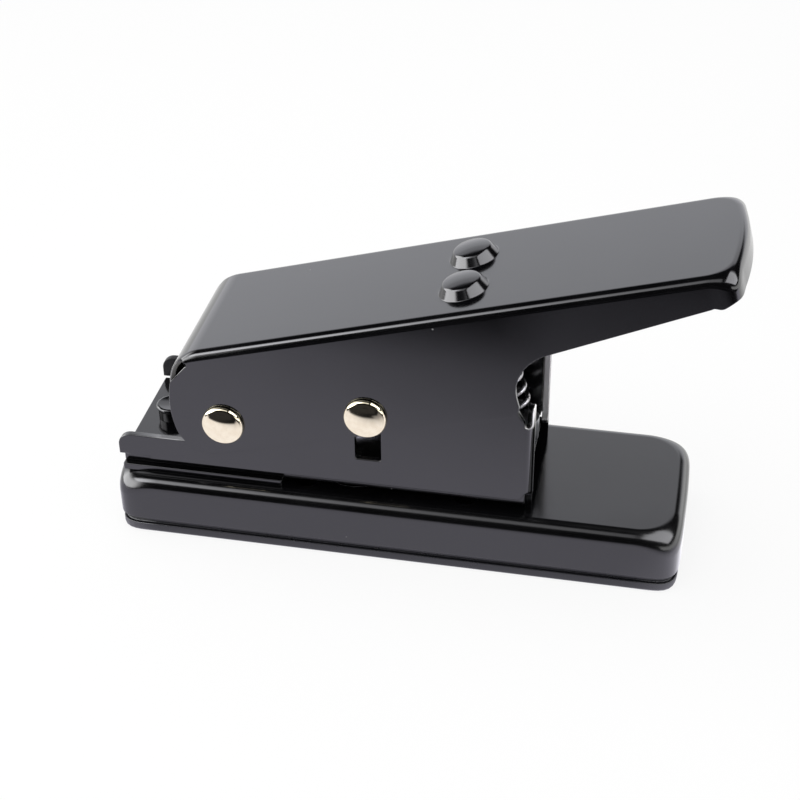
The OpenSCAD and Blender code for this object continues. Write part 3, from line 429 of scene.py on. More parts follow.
def pick_loop(plates, grow=0.0):
    """Pick outline: three arcs of large radius that run tangent into three corner arcs."""
    sag = plates.back_r - np.sqrt((plates.back_r - plates.shoulder_r) ** 2
                                  - (plates.pick_width / 2 - plates.shoulder_r) ** 2)
    far = plates.pick_width / 2 - plates.shoulder_r
    corners = np.array([[sag, -far], [plates.pick_length - plates.tip_r, 0], [sag, far]])
    radii = np.array([plates.shoulder_r, plates.tip_r, plates.shoulder_r])
    bows = np.array([plates.side_r, plates.side_r, plates.back_r])
    after, after_r = np.roll(corners, -1, 0), np.roll(radii, -1)
    span = np.linalg.norm(after - corners, axis=1)
    along = unit(after - corners)
    inward = np.stack([-along[:, 1], along[:, 0]], 1)
    foot = (span ** 2 + (bows - radii) ** 2 - (bows - after_r) ** 2) / (2 * span)
    rise = np.sqrt((bows - radii) ** 2 - foot ** 2)
    centres = corners + foot[:, None] * along + rise[:, None] * inward
    starts = np.unwrap(np.arctan2(*(corners - centres).T[::-1]))
    ends = np.arctan2(*(after - centres).T[::-1])
    parts = []
    for i in range(3):
        sweep = (ends[i] - starts[i] + np.pi) % (2 * np.pi) - np.pi
        finish = starts[i] + sweep
        parts.append(arc(centres[i], bows[i] + grow, *np.degrees([starts[i], finish]), 16))
        turn = (starts[(i + 1) % 3] - finish) % (2 * np.pi)
        parts.append(arc(after[i], after_r[i] + grow, *np.degrees([finish, finish + turn]), 14))
    return thinned(np.concatenate(parts)) + [plates.pick_back, 0]


# Surfaces

def facing(surface):
    """Surface whose faces turn the way that its normals point."""
    faces = []
    for group in surface.faces:
        corner = surface.points[group]
        across = np.cross(corner[:, 2] - corner[:, 0], corner[:, -1] - corner[:, 1])
        wrong = np.sum(across * surface.normals[group].sum(1), 1) < 0
        faces.append(np.where(wrong[:, None], group[:, ::-1], group))
    return surface._replace(faces=faces)


def joined(*surfaces):
    """One surface from several."""
    starts = np.cumsum([0] + [len(s.points) for s in surfaces])
    return Surface(np.concatenate([s.points for s in surfaces]),
                   np.concatenate([s.normals for s in surfaces]),
                   [group + start for s, start in zip(surfaces, starts) for group in s.faces])


def moved(surface, origin, axes=np.eye(3)):
    """Surface whose own X, Y and Z run along the rows of axes from an origin."""
    axes = np.asarray(axes)
    return surface._replace(points=surface.points @ axes + origin, normals=surface.normals @ axes)


def repeated(surface, places):
    """Copies of a surface at places, as one surface."""
    return joined(*[moved(surface, place) for place in places])


def both_sides(x, y):
    """Places at a distance y to both sides of the middle."""
    return [(x, side * y, 0) for side in SIDES]


def strip(rows, closed=True):
    """Four-sided faces between rows of point numbers, one row after another."""
    rows = np.asarray(rows)
    after = np.roll(rows, -1, 1)
    if not closed:
        rows, after = rows[:, :-1], after[:, :-1]
    return np.stack([rows[:-1], rows[1:], after[1:], after[:-1]], -1).reshape(-1, 4)


def fan(ring, middle):
    """Three-sided faces from a ring of point numbers to one in the middle."""
    return np.stack([ring, np.roll(ring, -1), np.full(len(ring), middle)], 1)


def filled(loops, rings, lines):
    """Triangles between loops: a Delaunay mesh that keeps loops, rings and lines as edges,
    and of it the triangles whose middle a ray reaches over an odd number of loop sides.
    Gives the points, the triangles and each loop's point numbers."""
    groups = [*loops, *rings, *lines]
    starts = np.cumsum([0] + [len(g) for g in groups])
    points = np.concatenate(groups)
    edges = []
    for i, group in enumerate(groups):
        own = starts[i] + np.arange(len(group))
        pairs = np.stack([own, np.roll(own, -1)], 1)
        edges.append(pairs if i < len(loops) + len(rings) else pairs[:-1])
    coords, _, triangles, origins, _, _ = delaunay_2d_cdt(
        [Vector(p) for p in points / MM], np.concatenate(edges).tolist(), [], 0, 1e-6)
    flat = np.array([c[:] for c in coords]) * MM
    own = np.array([o[0] if o else -1 for o in origins])
    flat[own >= 0] = points[own[own >= 0]]
    number_of = np.zeros(len(points), int)
    for new, old in enumerate(origins):
        number_of[list(old)] = new
    triangles = np.array(triangles)
    x, y = flat[triangles].mean(1).T
    crossed = np.zeros(len(triangles), int)
    for loop in loops:
        (ax, ay), (bx, by) = loop.T[:, None], np.roll(loop, -1, 0).T[:, None]
        level = (ay > y[:, None]) != (by > y[:, None])
        rise = np.where(level, by - ay, 1)
        crossed += np.sum(level & (x[:, None] < ax + (y[:, None] - ay) * (bx - ax) / rise), 1)
    return flat, triangles[crossed % 2 == 1], [number_of[a:b] for a, b in zip(starts, starts[1:])]


def pressed_sheet(place, outline, holes, thickness, rim_r, rings=(), lines=(), steps=4):
    """Sheet cut to an outline with holes and bent by place(points, depth), which gives points and
    front normals. Its two faces are Delaunay meshes; each cut edge is a pair of quarter rounds of
    radius rim_r, at inset rim_r (1 - sin t) and depth rim_r (1 - cos t)."""
    loops = [wound(outline, False)] + [wound(hole, True) for hole in holes]
    ways = [outward(loop) for loop in loops]
    flat, triangles, numbers = filled([loop - rim_r * way for loop, way in zip(loops, ways)],
                                      list(rings), list(lines))
    front, front_n = place(flat, 0.0)
    back, back_n = place(flat, thickness)
    points, normals = [front, back], [front_n, -back_n]
    faces = [triangles, triangles + len(flat)]
    total = 2 * len(flat)
    turn = np.linspace(0, QUARTER, steps + 1)[1:]
    for loop, way, own in zip(loops, ways, numbers):
        tiny = unit(way) * 1e-6
        out = unit(place(loop + tiny, 0.0)[0] - place(loop - tiny, 0.0)[0])
        rows = [own]
        for t, behind in [(t, False) for t in turn] + [(t, True) for t in turn[::-1]]:
            depth = rim_r * (1 - np.cos(t))
            at, normal = place(loop - way * rim_r * (1 - np.sin(t)),
                               thickness - depth if behind else depth)
            points.append(at)
            normals.append(unit((-normal if behind else normal) * np.cos(t) + out * np.sin(t)))
            rows.append(np.arange(total, total + len(loop)))
            total += len(loop)
        faces.append(strip(rows + [own + len(flat)]))
    return facing(Surface(np.concatenate(points), np.concatenate(normals), faces))


def bent(front):
    """Placing of a sheet whose front face is front(uv): depth is laid off against the face's
    normal, the cross product of its central differences."""
    def place(uv, depth):
        along, across = [front(uv + step) - front(uv - step) for step in 0.01 * MM * np.eye(2)]
        normal = unit(np.cross(along, across))
        return front(uv) - np.reshape(depth, (-1, 1)) * normal, normal
    return place


def level(top):
    """Front of a level sheet at a height."""
    return lambda uv: np.column_stack([uv, np.full(len(uv), top)])


def corner_wall(way, reach, power):
    """Distance of a corner's wall from its foot, along unit ways: the superellipse
    reach (|x|^power + |y|^power)^(-1/power)."""
    size = np.sum(np.abs(way) ** power, -1)
    return reach * np.maximum(size, 2 ** (1 - power / 2)) ** (-1 / power)


def skirt(wall, flat_r, depth):
    """Distance from a foot, along the sheet, to a depth below the flat."""
    return flat_r + (wall - flat_r) * (QUARTER - 1) + depth


def u_bend(along, flat, r):
    """Place across and depth behind the flat, from the distance along a strip bent to a U: each
    side goes round a quarter bend of radius r where the flat ends, and then straight back."""
    far = np.abs(along)
    turn = np.clip((far - flat) / r, 0, QUARTER)
    across = np.sign(along) * (np.minimum(far, flat) + r * np.sin(turn))
    return across, r * (1 - np.cos(turn)) + np.maximum(far - flat - r * QUARTER, 0)


def drawn(nearest, flat_r, top):
    """Front of a drawn tray from nearest(uv), each point's foot and the wall's distance from it. A
    point stays level within flat_r of its foot, goes round a quarter bend to the wall and then
    straight down."""
    def front(uv):
        foot, wall = nearest(uv)
        reach, drop = u_bend(np.linalg.norm(uv - foot, axis=1), flat_r, wall - flat_r)
        return np.column_stack([foot + unit(uv - foot) * reach[:, None], top - drop])
    return front


def bowed_ends(points, base):
    """Points of the base with bowed ends: drawn in towards the middle by end_bow (2 y / width)^2,
    fading out away from the ends."""
    fade = 0.3
    share = np.clip((np.abs(points[:, 0]) / base.length * 2 - 1 + fade) / fade, 0, 1)
    inward = base.end_bow * share ** 2 * (2 * points[:, 1] / base.width) ** 2
    return points - np.column_stack([np.sign(points[:, 0]) * inward, np.zeros((len(points), 2))])


def tray_ring(base, steps, along_end=7):
    """Feet, ways and the wall's distances round the base: its four corners and places along its
    ends."""
    feet = np.array([base.length, base.width]) / 2 - base.flat_r - base.edge_r
    turns = [arc((0, 0), 1, start, start + 90, steps) for start in (0, 90, 180, 270)]
    corners = [np.tile(feet * sign, (steps + 1, 1)) for sign in rectangle((1, 1), (-1, -1))]
    end = np.column_stack([np.full(along_end, feet[0]),
                           feet[1] * np.linspace(-1, 1, along_end + 2)[1:-1]])
    ahead = np.tile([1.0, 0.0], (along_end, 1))
    ways = np.concatenate([*turns[:2], -ahead, *turns[2:], ahead])
    return (np.concatenate([*corners[:2], -end, *corners[2:], end]), ways,
            corner_wall(ways, base.flat_r + base.edge_r, base.corner_power))


def swept(profile, feet, ways, closed=False, radial=None):
    """Profile of radius and height carried round: at each angle its radius is laid off from a foot
    along a way. Open profiles end in a point over the middle. Normals are square to the profile."""
    step = np.diff(profile, axis=0, append=profile[:1])
    side = unit(np.stack([step[:, 1], -step[:, 0]], 1))
    before = np.roll(side, 1, 0)
    if not closed:
        side[-1], before[0] = side[-2], side[0]
    tilt = unit(side + before)
    rows, turns = len(profile), len(ways)
    reach = profile[:, 0][:, None, None] * (1 if radial is None else radial[:, :, None])
    plan = feet[None] + reach * ways[None]
    height = np.broadcast_to(profile[:, 1][:, None, None], (rows, turns, 1))
    points = np.concatenate([plan, height], 2).reshape(-1, 3)
    normals = np.concatenate([tilt[:, 0][:, None, None] * ways[None],
                              np.broadcast_to(tilt[:, 1][:, None, None], (rows, turns, 1))], 2)
    normals = normals.reshape(-1, 3)
    grid = np.arange(rows * turns).reshape(rows, turns)
    if closed:
        return facing(Surface(points, normals, [strip(np.vstack([grid, grid[:1]]))]))
    middle = np.array([[0, 0, profile[0, 1]], [0, 0, profile[-1, 1]]])
    faces = [strip(grid), fan(grid[0], len(points)), fan(grid[-1], len(points) + 1)]
    ends = np.array([-Z_AXIS, Z_AXIS])
    return facing(Surface(np.vstack([points, middle]), np.vstack([normals, ends]), faces))


def turned(profile, rim_r, closed=False, turns=64):
    """Turned piece: a profile with rounded corners carried round the Z axis."""
    ways = arc((0, 0), 1, 0, 360, turns)[:-1]
    return swept(rounded(profile, rim_r, closed), np.zeros((turns, 2)), ways, closed)


def cap_height(r, rise, reach):
    """Height of a round cap over its rim at a distance from its axis: rise - bow + sqrt(bow^2 -
    reach^2), where bow = (r^2 + rise^2) / (2 rise) is the radius of its curve."""
    bow = (r ** 2 + rise ** 2) / (2 * rise)
    return rise - bow + np.sqrt(bow ** 2 - reach ** 2)


def dome(r, low, rim, height, steps=14):
    """Profile of a domed head: straight rim, then a round cap that ends near the axis."""
    reach = r * np.linspace(1, CAP_END, steps)
    cap = np.stack([reach, low + rim + cap_height(r, height - rim, reach)], 1)
    return np.vstack([[r, low], cap])


def crowned(pins, steps=12):
    """Profile of a pin's head: straight rim, nearly a quarter round, and a flat cap that ends near
    the axis."""
    low, edge = pins.seat + pins.head_rim, pins.head_r - pins.head_round
    rise = pins.head_h - pins.head_rim - pins.head_round
    reach = edge * np.linspace(1, CAP_END, steps)[1:]
    cap = np.stack([reach, low + pins.head_round + cap_height(edge, rise, reach)], 1)
    return np.vstack([[pins.head_r, pins.seat], arc((edge, low), pins.head_round, 0, 82, 8), cap])


def handle_axes(handle):
    """Rows along the handle's own X, Y and Z."""
    c, s = np.cos(handle.tilt), np.sin(handle.tilt)
    return np.array([[c, 0, s], [0, 1, 0], [-s, 0, c]])


def pivot(pins):
    """Place of the pivot pin, origin of the handle's own plane."""
    return np.array([pins.pivot_x, 0, pins.pivot_z])


# Finishes

def wire(tree, kind, inputs, **settings):
    """New node with its settings, and its inputs set or linked."""
    made = tree.nodes.new(kind)
    for name, value in settings.items():
        setattr(made, name, value)
    for key, value in inputs.items():
        if isinstance(value, NodeSocket):
            tree.links.new(value, made.inputs[key])
        else:
            made.inputs[key].default_value = value
    return made


def calc(tree, operation, *values):
    """Result of a Math node on values."""
    return wire(tree, "ShaderNodeMath", dict(enumerate(values)), operation=operation).outputs[0]


def noise(tree, coords, scale, detail=3.0):
    """Noise of a number of waves to the metre."""
    return wire(tree, "ShaderNodeTexNoise",
                {"Vector": coords, "Scale": scale, "Detail": detail}).outputs["Fac"]


def spread(tree, value, low, high, start=0.3, end=0.7):
    """Value between start and end, spread smoothly over low to high."""
    return wire(tree, "ShaderNodeMapRange",
                {"Value": value, "From Min": start, "From Max": end, "To Min": low, "To Max": high},
                interpolation_type="SMOOTHSTEP").outputs["Result"]


def rgba(tone):
    """Colour as a socket takes it; a socket stays as it is."""
    return tone if isinstance(tone, NodeSocket) else (*tone, 1)


def blended(tree, factor, first, second):
    """Colour between two by a factor."""
    return wire(tree, "ShaderNodeMix", {0: factor, 6: rgba(first), 7: rgba(second)},
                data_type="RGBA").outputs[2]


def bumped(tree, height, strength, distance):
    """Normal from a height."""
    return wire(tree, "ShaderNodeBump", {"Height": height, "Strength": strength,
                                         "Distance": distance}).outputs["Normal"]


def material(name):
    """New material, with its node tree, shader and object coordinates."""
    made = bpy.data.materials.new(f"{name}_look")
    made.use_nodes = True
    tree = made.node_tree
    coords = wire(tree, "ShaderNodeTexCoord", {}).outputs["Object"]
    return made, tree, tree.nodes["Principled BSDF"], coords


def link(tree, shader, **sockets):
    """Links the shader's inputs, named with underscores for spaces."""
    for name, socket in sockets.items():
        tree.links.new(socket, shader.inputs[name.replace("_", " ")])


def black_paint(finishes):
    """Glossy black paint: faint clouds of tone and gloss, a fine orange peel and a few dust specks.
    One point attribute gives unpainted metal in place of paint, which also paints a bright
    highlight on the frame's uprights and lightens the handle lip's cut edges. Another takes the
    gloss away, which paints shade on the frame's sill and far tongue and gives the base an even
    satin."""
    made, tree, shader, coords = material("black_paint")
    shader.inputs["IOR"].default_value = finishes.paint_ior
    bare, dull = [wire(tree, "ShaderNodeAttribute", {}, attribute_name=name).outputs["Fac"]
                  for name in ("bare", "dull")]
    cells = wire(tree, "ShaderNodeTexVoronoi", {"Vector": coords, "Scale": 210.0})
    near = spread(tree, cells.outputs["Distance"], 1, 0, 0.025, 0.05)
    chosen = wire(tree, "ShaderNodeSeparateColor", {"Color": cells.outputs["Color"]}).outputs["Red"]
    speck = calc(tree, "MULTIPLY", near, spread(tree, chosen, 0, 1, 0.93, 0.95))
    clouds = spread(tree, noise(tree, coords, 55.0), 0, 1)
    ground = blended(tree, clouds, finishes.paint, finishes.paint_worn)
    ground = blended(tree, speck, ground, finishes.dust)
    gloss = spread(tree, noise(tree, coords, 80.0),
                   finishes.paint_rough * 0.85, finishes.paint_rough * 1.2)
    rough = calc(tree, "MAXIMUM", gloss, speck)
    # Dullness paints shade here: on the frame's sill and far tongue the paint loses its gloss and
    # reflection and looks dark. On the base it is an even satin.
    rough = calc(tree, "MULTIPLY_ADD", dull, 0.6, rough)
    rough = calc(tree, "MULTIPLY_ADD", bare, 0.4, rough)
    # Unpainted metal paints a bright highlight on the frame's uprights and lightens the handle
    # lip's cut edges.
    link(tree, shader, Base_Color=blended(tree, bare, ground, finishes.bare), Metallic=bare,
         Roughness=rough, Specular_IOR_Level=calc(tree, "MULTIPLY_ADD", dull, -0.5, 0.5),
         Normal=bumped(tree, noise(tree, coords, 1300.0, 1.0), 0.05, 0.00002))
    return made


def black_plastic(finishes):
    """Moulded black plastic with a fine grain."""
    made, tree, shader, coords = material("black_plastic")
    grain = noise(tree, coords, 3200.0, 2.0)
    clouds = spread(tree, noise(tree, coords, 90.0), 0.24, 0.34)
    link(tree, shader, Base_Color=blended(tree, grain, finishes.plastic, finishes.plastic_worn),
         Roughness=clouds, Normal=bumped(tree, grain, 0.15, 0.00003))
    shader.inputs["IOR"].default_value = 1.56
    return made


def metal(name, coords_scale, bright, deep, scale, rough, strength):
    """Metal with streaks: noise on coordinates stretched by a scale drives tone and relief, and
    clouds drive the gloss."""
    made, tree, shader, coords = material(name)
    shader.inputs["Metallic"].default_value = 1.0
    streaks = wire(tree, "ShaderNodeMapping",
                   {"Vector": coords, "Scale": coords_scale}).outputs["Vector"]
    lines = noise(tree, streaks, scale, 4.0)
    clouds = noise(tree, coords, 120.0)
    link(tree, shader, Base_Color=blended(tree, spread(tree, lines, 0, 1), bright, deep),
         Roughness=spread(tree, clouds, *rough), Normal=bumped(tree, lines, strength, 0.00001))
    return made


def nickel(finishes):
    """Polished nickel with faint turning marks."""
    return metal("nickel", (1, 0.2, 1), finishes.nickel, finishes.nickel_deep,
                 700.0, (0.05, 0.11), 0.04)


def tool_steel(finishes):
    """Ground tool steel, with lines along the piece."""
    return metal("tool_steel", (0.05, 1, 0.4), finishes.steel, finishes.steel_deep,
                 2600.0, (0.22, 0.36), 0.2)


def zinc_steel(finishes):
    """Zinc-plated steel with a mottled dull shine."""
    return metal("zinc_steel", (1, 1, 1), finishes.zinc, finishes.zinc_deep,
                 420.0, (0.24, 0.4), 0.1)


def spring_steel(finishes):
    """Drawn spring wire, with short dark lines."""
    return metal("spring_steel", (1, 1, 0.6), finishes.wire, finishes.wire_deep,
                 1500.0, (0.16, 0.3), 0.15)


FINISHES = {maker.__name__: maker for maker in
            (black_paint, black_plastic, nickel, tool_steel, zinc_steel, spring_steel)}


def finish(name):
    """Material of a name, made on first use."""
    found = bpy.data.materials.get(f"{name}_look")
    return found or FINISHES[name](bpy.context.scene.lever_punch.finishes)


# Pieces

def piece(name, surface, slot, body, *nodes):
    """Object from a surface, with its finish, that rides a body in place of CAD nodes."""
    mesh = bpy.data.meshes.new(name)
    faces = [face for group in surface.faces for face in group.tolist()]
    mesh.from_pydata(surface.points.tolist(), [], faces)
    mesh.polygons.foreach_set("use_smooth", np.ones(len(mesh.polygons), bool))
    mesh.normals_split_custom_set_from_vertices(surface.normals.tolist())
    mesh.materials.append(finish(slot))
    made = bpy.data.objects.new(name, mesh)
    bpy.context.collection.objects.link(made)
    if body:
        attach(made, body)
    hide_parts(*nodes)
    return made


def point_attributes(made, **shares):
    """Writes shares from 0 to 1, one for each point, as the mesh's attributes."""
    for name, values in shares.items():
        layer = made.data.attributes.new(name, "FLOAT", "POINT")
        layer.data.foreach_set("value", values.astype(np.float32))


def kept(node, slot):
    """CAD node that stays, with its finish."""
    made = bpy.data.objects[node]
    made.data.materials.clear()
    made.data.materials.append(finish(slot))


class PieceOperator:
    """What the piece operators share."""
    bl_options = {"REGISTER", "UNDO"}

    def execute(self, context):
        self.build(context.scene.lever_punch)
        return {"FINISHED"}


class LEVERPUNCH_OT_base_shell(PieceOperator, Operator):
    """Drawn base shell with its pick-shaped opening and tab holes"""
    bl_idname = "lever_punch.base_shell"
    bl_label = "Base Shell"

    def build(self, sizes):
        base, web = sizes.base, sizes.frame
        round_r = base.flat_r + base.edge_r
        feet = np.array([base.length, base.width]) / 2 - round_r
        corners, ways, wall = tray_ring(base, 18)

        def nearest(uv):
            """Nearest point of the box of feet, and the wall's distance from it."""
            foot = np.clip(uv, -feet, feet)
            return foot, corner_wall(unit(uv - foot), round_r, base.corner_power)

        def loop(reach):
            """Ring at a distance from the feet."""
            return corners + ways * reach[:, None]

        folds = [loop(base.flat_r + (wall - base.flat_r) * t) for t in np.linspace(0, QUARTER, 13)]
        outline = loop(skirt(wall, base.flat_r, base.top - base.cover_top))
        play, hole_r = 0.15 * MM, 0.3 * MM
        rear, front = web.web_front - web.sheet - play, web.web_front - play
        reach = web.tab / 2 + play
        tabs = [rounded(rectangle((rear, y - reach), (front, y + reach)), hole_r)
                for y in web.tab_at * SIDES]
        opening = pick_loop(sizes.plates, sizes.plates.chip_relief)
        tray = drawn(nearest, base.flat_r, base.top)
        surface = pressed_sheet(bent(lambda uv: bowed_ends(tray(uv), base)), outline,
                                [opening, *tabs], base.sheet, base.rim_r, rings=folds)
        made = piece("base_tray", surface, "black_paint", "base", "base_shell")
        # An even slight dullness over the whole base, from its satin paint, not from shade.
        point_attributes(made, dull=np.full(len(surface.points), 0.07))


class LEVERPUNCH_OT_bottom_cover(PieceOperator, Operator):
    """Plastic cover: rim, recess and a lip inside the base"""
    bl_idname = "lever_punch.bottom_cover"
    bl_label = "Bottom Cover"

    def build(self, sizes):
        base = sizes.base
        outside = base.corner_r - base.cover_inset
        recess = outside - base.recess_depth
        lip_out, lip_in = base.corner_r - base.lip_out, base.corner_r - base.lip_in
        middle, foot_r, rim = 2 * MM, base.cover_foot_r, 0.2 * MM
        foot = arc((outside - foot_r, foot_r), foot_r, -90, 0, 6)
        upper = rounded([[outside, foot_r], [outside, base.recess_low], [recess, base.recess_low],
                         [recess, base.cover_top], [lip_out, base.cover_top],
                         [lip_out, base.lip_top], [lip_in, base.lip_top],
                         [lip_in, base.cover_floor], [middle, base.cover_floor]], rim, closed=False)
        profile = thinned(np.vstack([[[middle, 0]], foot, upper]), closed=False)
        corners, ways, wall = tray_ring(base, 16)
        surface = swept(profile, corners + ways * (wall - base.corner_r)[:, None], ways)
        surface = surface._replace(points=bowed_ends(surface.points, base))
        piece("cover_moulding", surface, "black_plastic", "cover", "bottom_cover")


class LEVERPUNCH_OT_plates(PieceOperator, Operator):
    """Guide plate and spacer plate"""
    bl_idname = "lever_punch.plates"
    bl_label = "Plates"

    def build(self, sizes):
        plates = sizes.plates
        corner = 0.4 * MM

        def plate(front, half, top, low, holes):
            """Level plate from the rear edge to a front edge."""
            outline = rounded(rectangle((plates.rear, -half), (front, half)), corner)
            return pressed_sheet(bent(level(top)), outline, holes, top - low, plates.rim_r)

        guide = plate(plates.front, plates.guide_half, plates.guide_top, plates.spacer_top,
                      [pick_loop(plates, plates.punch_fit)])
        piece("guide_floor", guide, "black_paint", "base", "guide_plate")
        spacer = plate(plates.stop, plates.spacer_half, plates.spacer_top, sizes.base.top, [])
        piece("spacer_sheet", spacer, "black_paint", "base", "spacer_plate")


class LEVERPUNCH_OT_frame(PieceOperator, Operator):
    """Frame: two slotted cheeks and an open front web, bent from one sheet"""
    bl_idname = "lever_punch.frame"
    bl_label = "Frame"

    def build(self, sizes):
        sheet, pins = sizes.frame, sizes.pins
        flat, bend = sheet.half - sheet.bend_r, sheet.bend_r * QUARTER
        sill = sizes.plates.guide_top

        def front(uv):
            """Blank bent to a U in plan: the first coordinate runs round the web and the cheeks,
            and the second is the height."""
            across, depth = u_bend(uv[:, 0], flat, sheet.bend_r)
            return np.stack([sheet.web_front - depth, across, uv[:, 1]], 1)

        def along(x):
            """Distance along the blank, from a cheek's own length."""
            return flat + bend + sheet.web_front - sheet.bend_r - np.asarray(x)

        cheek = self.cheek_edge(sheet, pins, sill)
        half = self.half_outline(sizes, np.column_stack([along(cheek[:, 0]), cheek[:, 1]]))
        foot_clear, notch_clear = 0.8 * MM, 0.5 * MM
        heights = np.linspace(sheet.low + 2 * sheet.corner_r + foot_clear,
                              sheet.top - sheet.notch - notch_clear, 18)
        bends = [crossline(side * t, heights)
                 for t in flat + bend * np.linspace(0, 1, 9) for side in SIDES]
        holes, slot_r = [], 0.5 * MM
        for side in SIDES:
            rear, ahead = side * along(pins.drive_x + sheet.slot_half * SIDES)
            slot = rectangle((rear, sheet.slot_low), (ahead, sheet.slot_top))
            pivot_hole = circle((side * along(pins.pivot_x), pins.pivot_z), pins.r + pins.fit, 40)
            holes += [rounded(slot, slot_r), pivot_hole]
        outline = thinned(np.vstack([half, (half * [-1, 1])[::-1]]))
        surface = pressed_sheet(bent(front), outline, holes, sheet.sheet, sheet.rim_r, lines=bends)
        surface = joined(surface, *self.clinches(sheet))
        made = piece("frame_sheet", surface, "black_paint", "base", "frame")
        # Painted highlight on the uprights, and painted shade on the sill and the far tongue.
        point_attributes(made, **self.bare_and_painted_light(sheet, surface, sill))

    @staticmethod
    def cheek_edge(sheet, pins, sill):
        """Edge of a cheek as length and height: front foot, tongue, boss round the pivot pin, and
        the top from its shoulder to the bend relief."""
        r, low, top = sheet.corner_r, sheet.low, sheet.top
        cheek_front = sheet.web_front - sheet.bend_r
        foot, tongue_top = sill + sheet.tongue_gap, low + sheet.tongue
        step_x, tongue_r = sheet.rear + sheet.tongue_step, sheet.tongue_r
        meet = np.degrees(np.arcsin((tongue_top - pins.pivot_z) / sheet.boss_r))
        ease, dip = 2 * MM, 0.3 * MM
        return np.vstack([
            arc((cheek_front - r, low + r), r, 0, -90, 5),
            [[step_x, low], [step_x, foot], [sheet.rear, foot]],
            arc((sheet.rear + tongue_r, tongue_top - tongue_r), tongue_r, 180, 90, 8),
            arc((pins.pivot_x, pins.pivot_z), sheet.boss_r, 180 - meet, 90, 28),
            [[sheet.shoulder - ease, top - dip], [sheet.shoulder, top],
             [sheet.shoulder + ease, top], [cheek_front - sheet.notch_lean, top]]])

    @staticmethod
    def half_outline(sizes, cheek):
        """Half the blank's outline: tab under the web, foot of the bend, cheek, bend relief,
        upright and sill."""
        sheet, base_top, sill = sizes.frame, sizes.base.top, sizes.plates.guide_top
        flat, bend, r = sheet.half - sheet.bend_r, sheet.bend_r * QUARTER, sheet.corner_r
        tab_in, tab_out = sheet.tab_at - sheet.tab / 2, sheet.tab_at + sheet.tab / 2
        foot_r, notch_r = bend / 2, (bend - sheet.upright_bend) / 2
        notch_z = sheet.top - sheet.notch + notch_r
        upright_r = (sheet.upright + sheet.upright_bend) / 2
        upright_z = sheet.top - sheet.upright_drop - upright_r
        return np.vstack([
            [[0, base_top], [tab_in, base_top], [tab_in, sheet.tab_low], [tab_out, sheet.tab_low],
             [tab_out, base_top], [flat, base_top]],
            arc((flat + foot_r, sheet.low + 2 * r - foot_r), foot_r, 180, 0, 10),
            cheek,
            arc((flat + bend - notch_r, notch_z), notch_r, 0, -180, 12),
            arc((flat + sheet.upright_bend - upright_r, upright_z), upright_r, 0, 180, 12),
            arc((flat - sheet.upright - r, sill + r), r, 0, -90, 5),
            [[0, sill]]])

    @staticmethod
    def clinches(sheet):
        """Ends of the two tabs, bent forward under the base's top."""
        rear, front = sheet.web_front - sheet.sheet, sheet.web_front + sheet.tab_length
        reach = sheet.tab / 2
        loops = [rounded(rectangle((rear, y - reach), (front, y + reach)), sheet.corner_r)
                 for y in sheet.tab_at * SIDES]
        return [pressed_sheet(bent(level(sheet.tab_low + sheet.sheet)), loop, [], sheet.sheet,
                              sheet.rim_r) for loop in loops]

    @staticmethod
    def bare_and_painted_light(sheet, surface, sill):
        """Shares of unpainted metal on the uprights' cut edges and forward faces, which paints a
        bright highlight on them, and of dullness on the sill and the far tongue, which paints shade
        there."""
        (x, y, z), (ahead, aside, _) = surface.points.T, surface.normals.T
        flat, notch_low, near = sheet.half - sheet.bend_r, sheet.top - sheet.notch, 0.1 * MM
        # Painted highlight: unpainted metal on the near upright's forward faces above the relief's
        # foot, and on the far upright's faces that turn to the near side.
        high = np.where((ahead > 0.3) & (y < 0), np.clip((z - notch_low) / MM + 0.5, 0, 1),
                        (aside < -0.5) & (y > 0))
        highlit_uprights = ((x > sheet.web_front - sheet.bend_r + near)
                    & (np.abs(y) > flat - sheet.upright - near) & (z > sill - MM))
        # Painted shade: on the far tongue and the web's sill the paint loses its gloss and
        # reflection, so they look dark.
        tongue = (x < sheet.rear + sheet.tongue_step) & (y > 0)
        shaded_sill = (np.abs(y) < flat - near) & (z < sill + near)
        return {"bare": np.where(highlit_uprights, high, 0),
                "dull": np.where(shaded_sill, 1.0, np.where(tongue, 0.6, 0.0))}


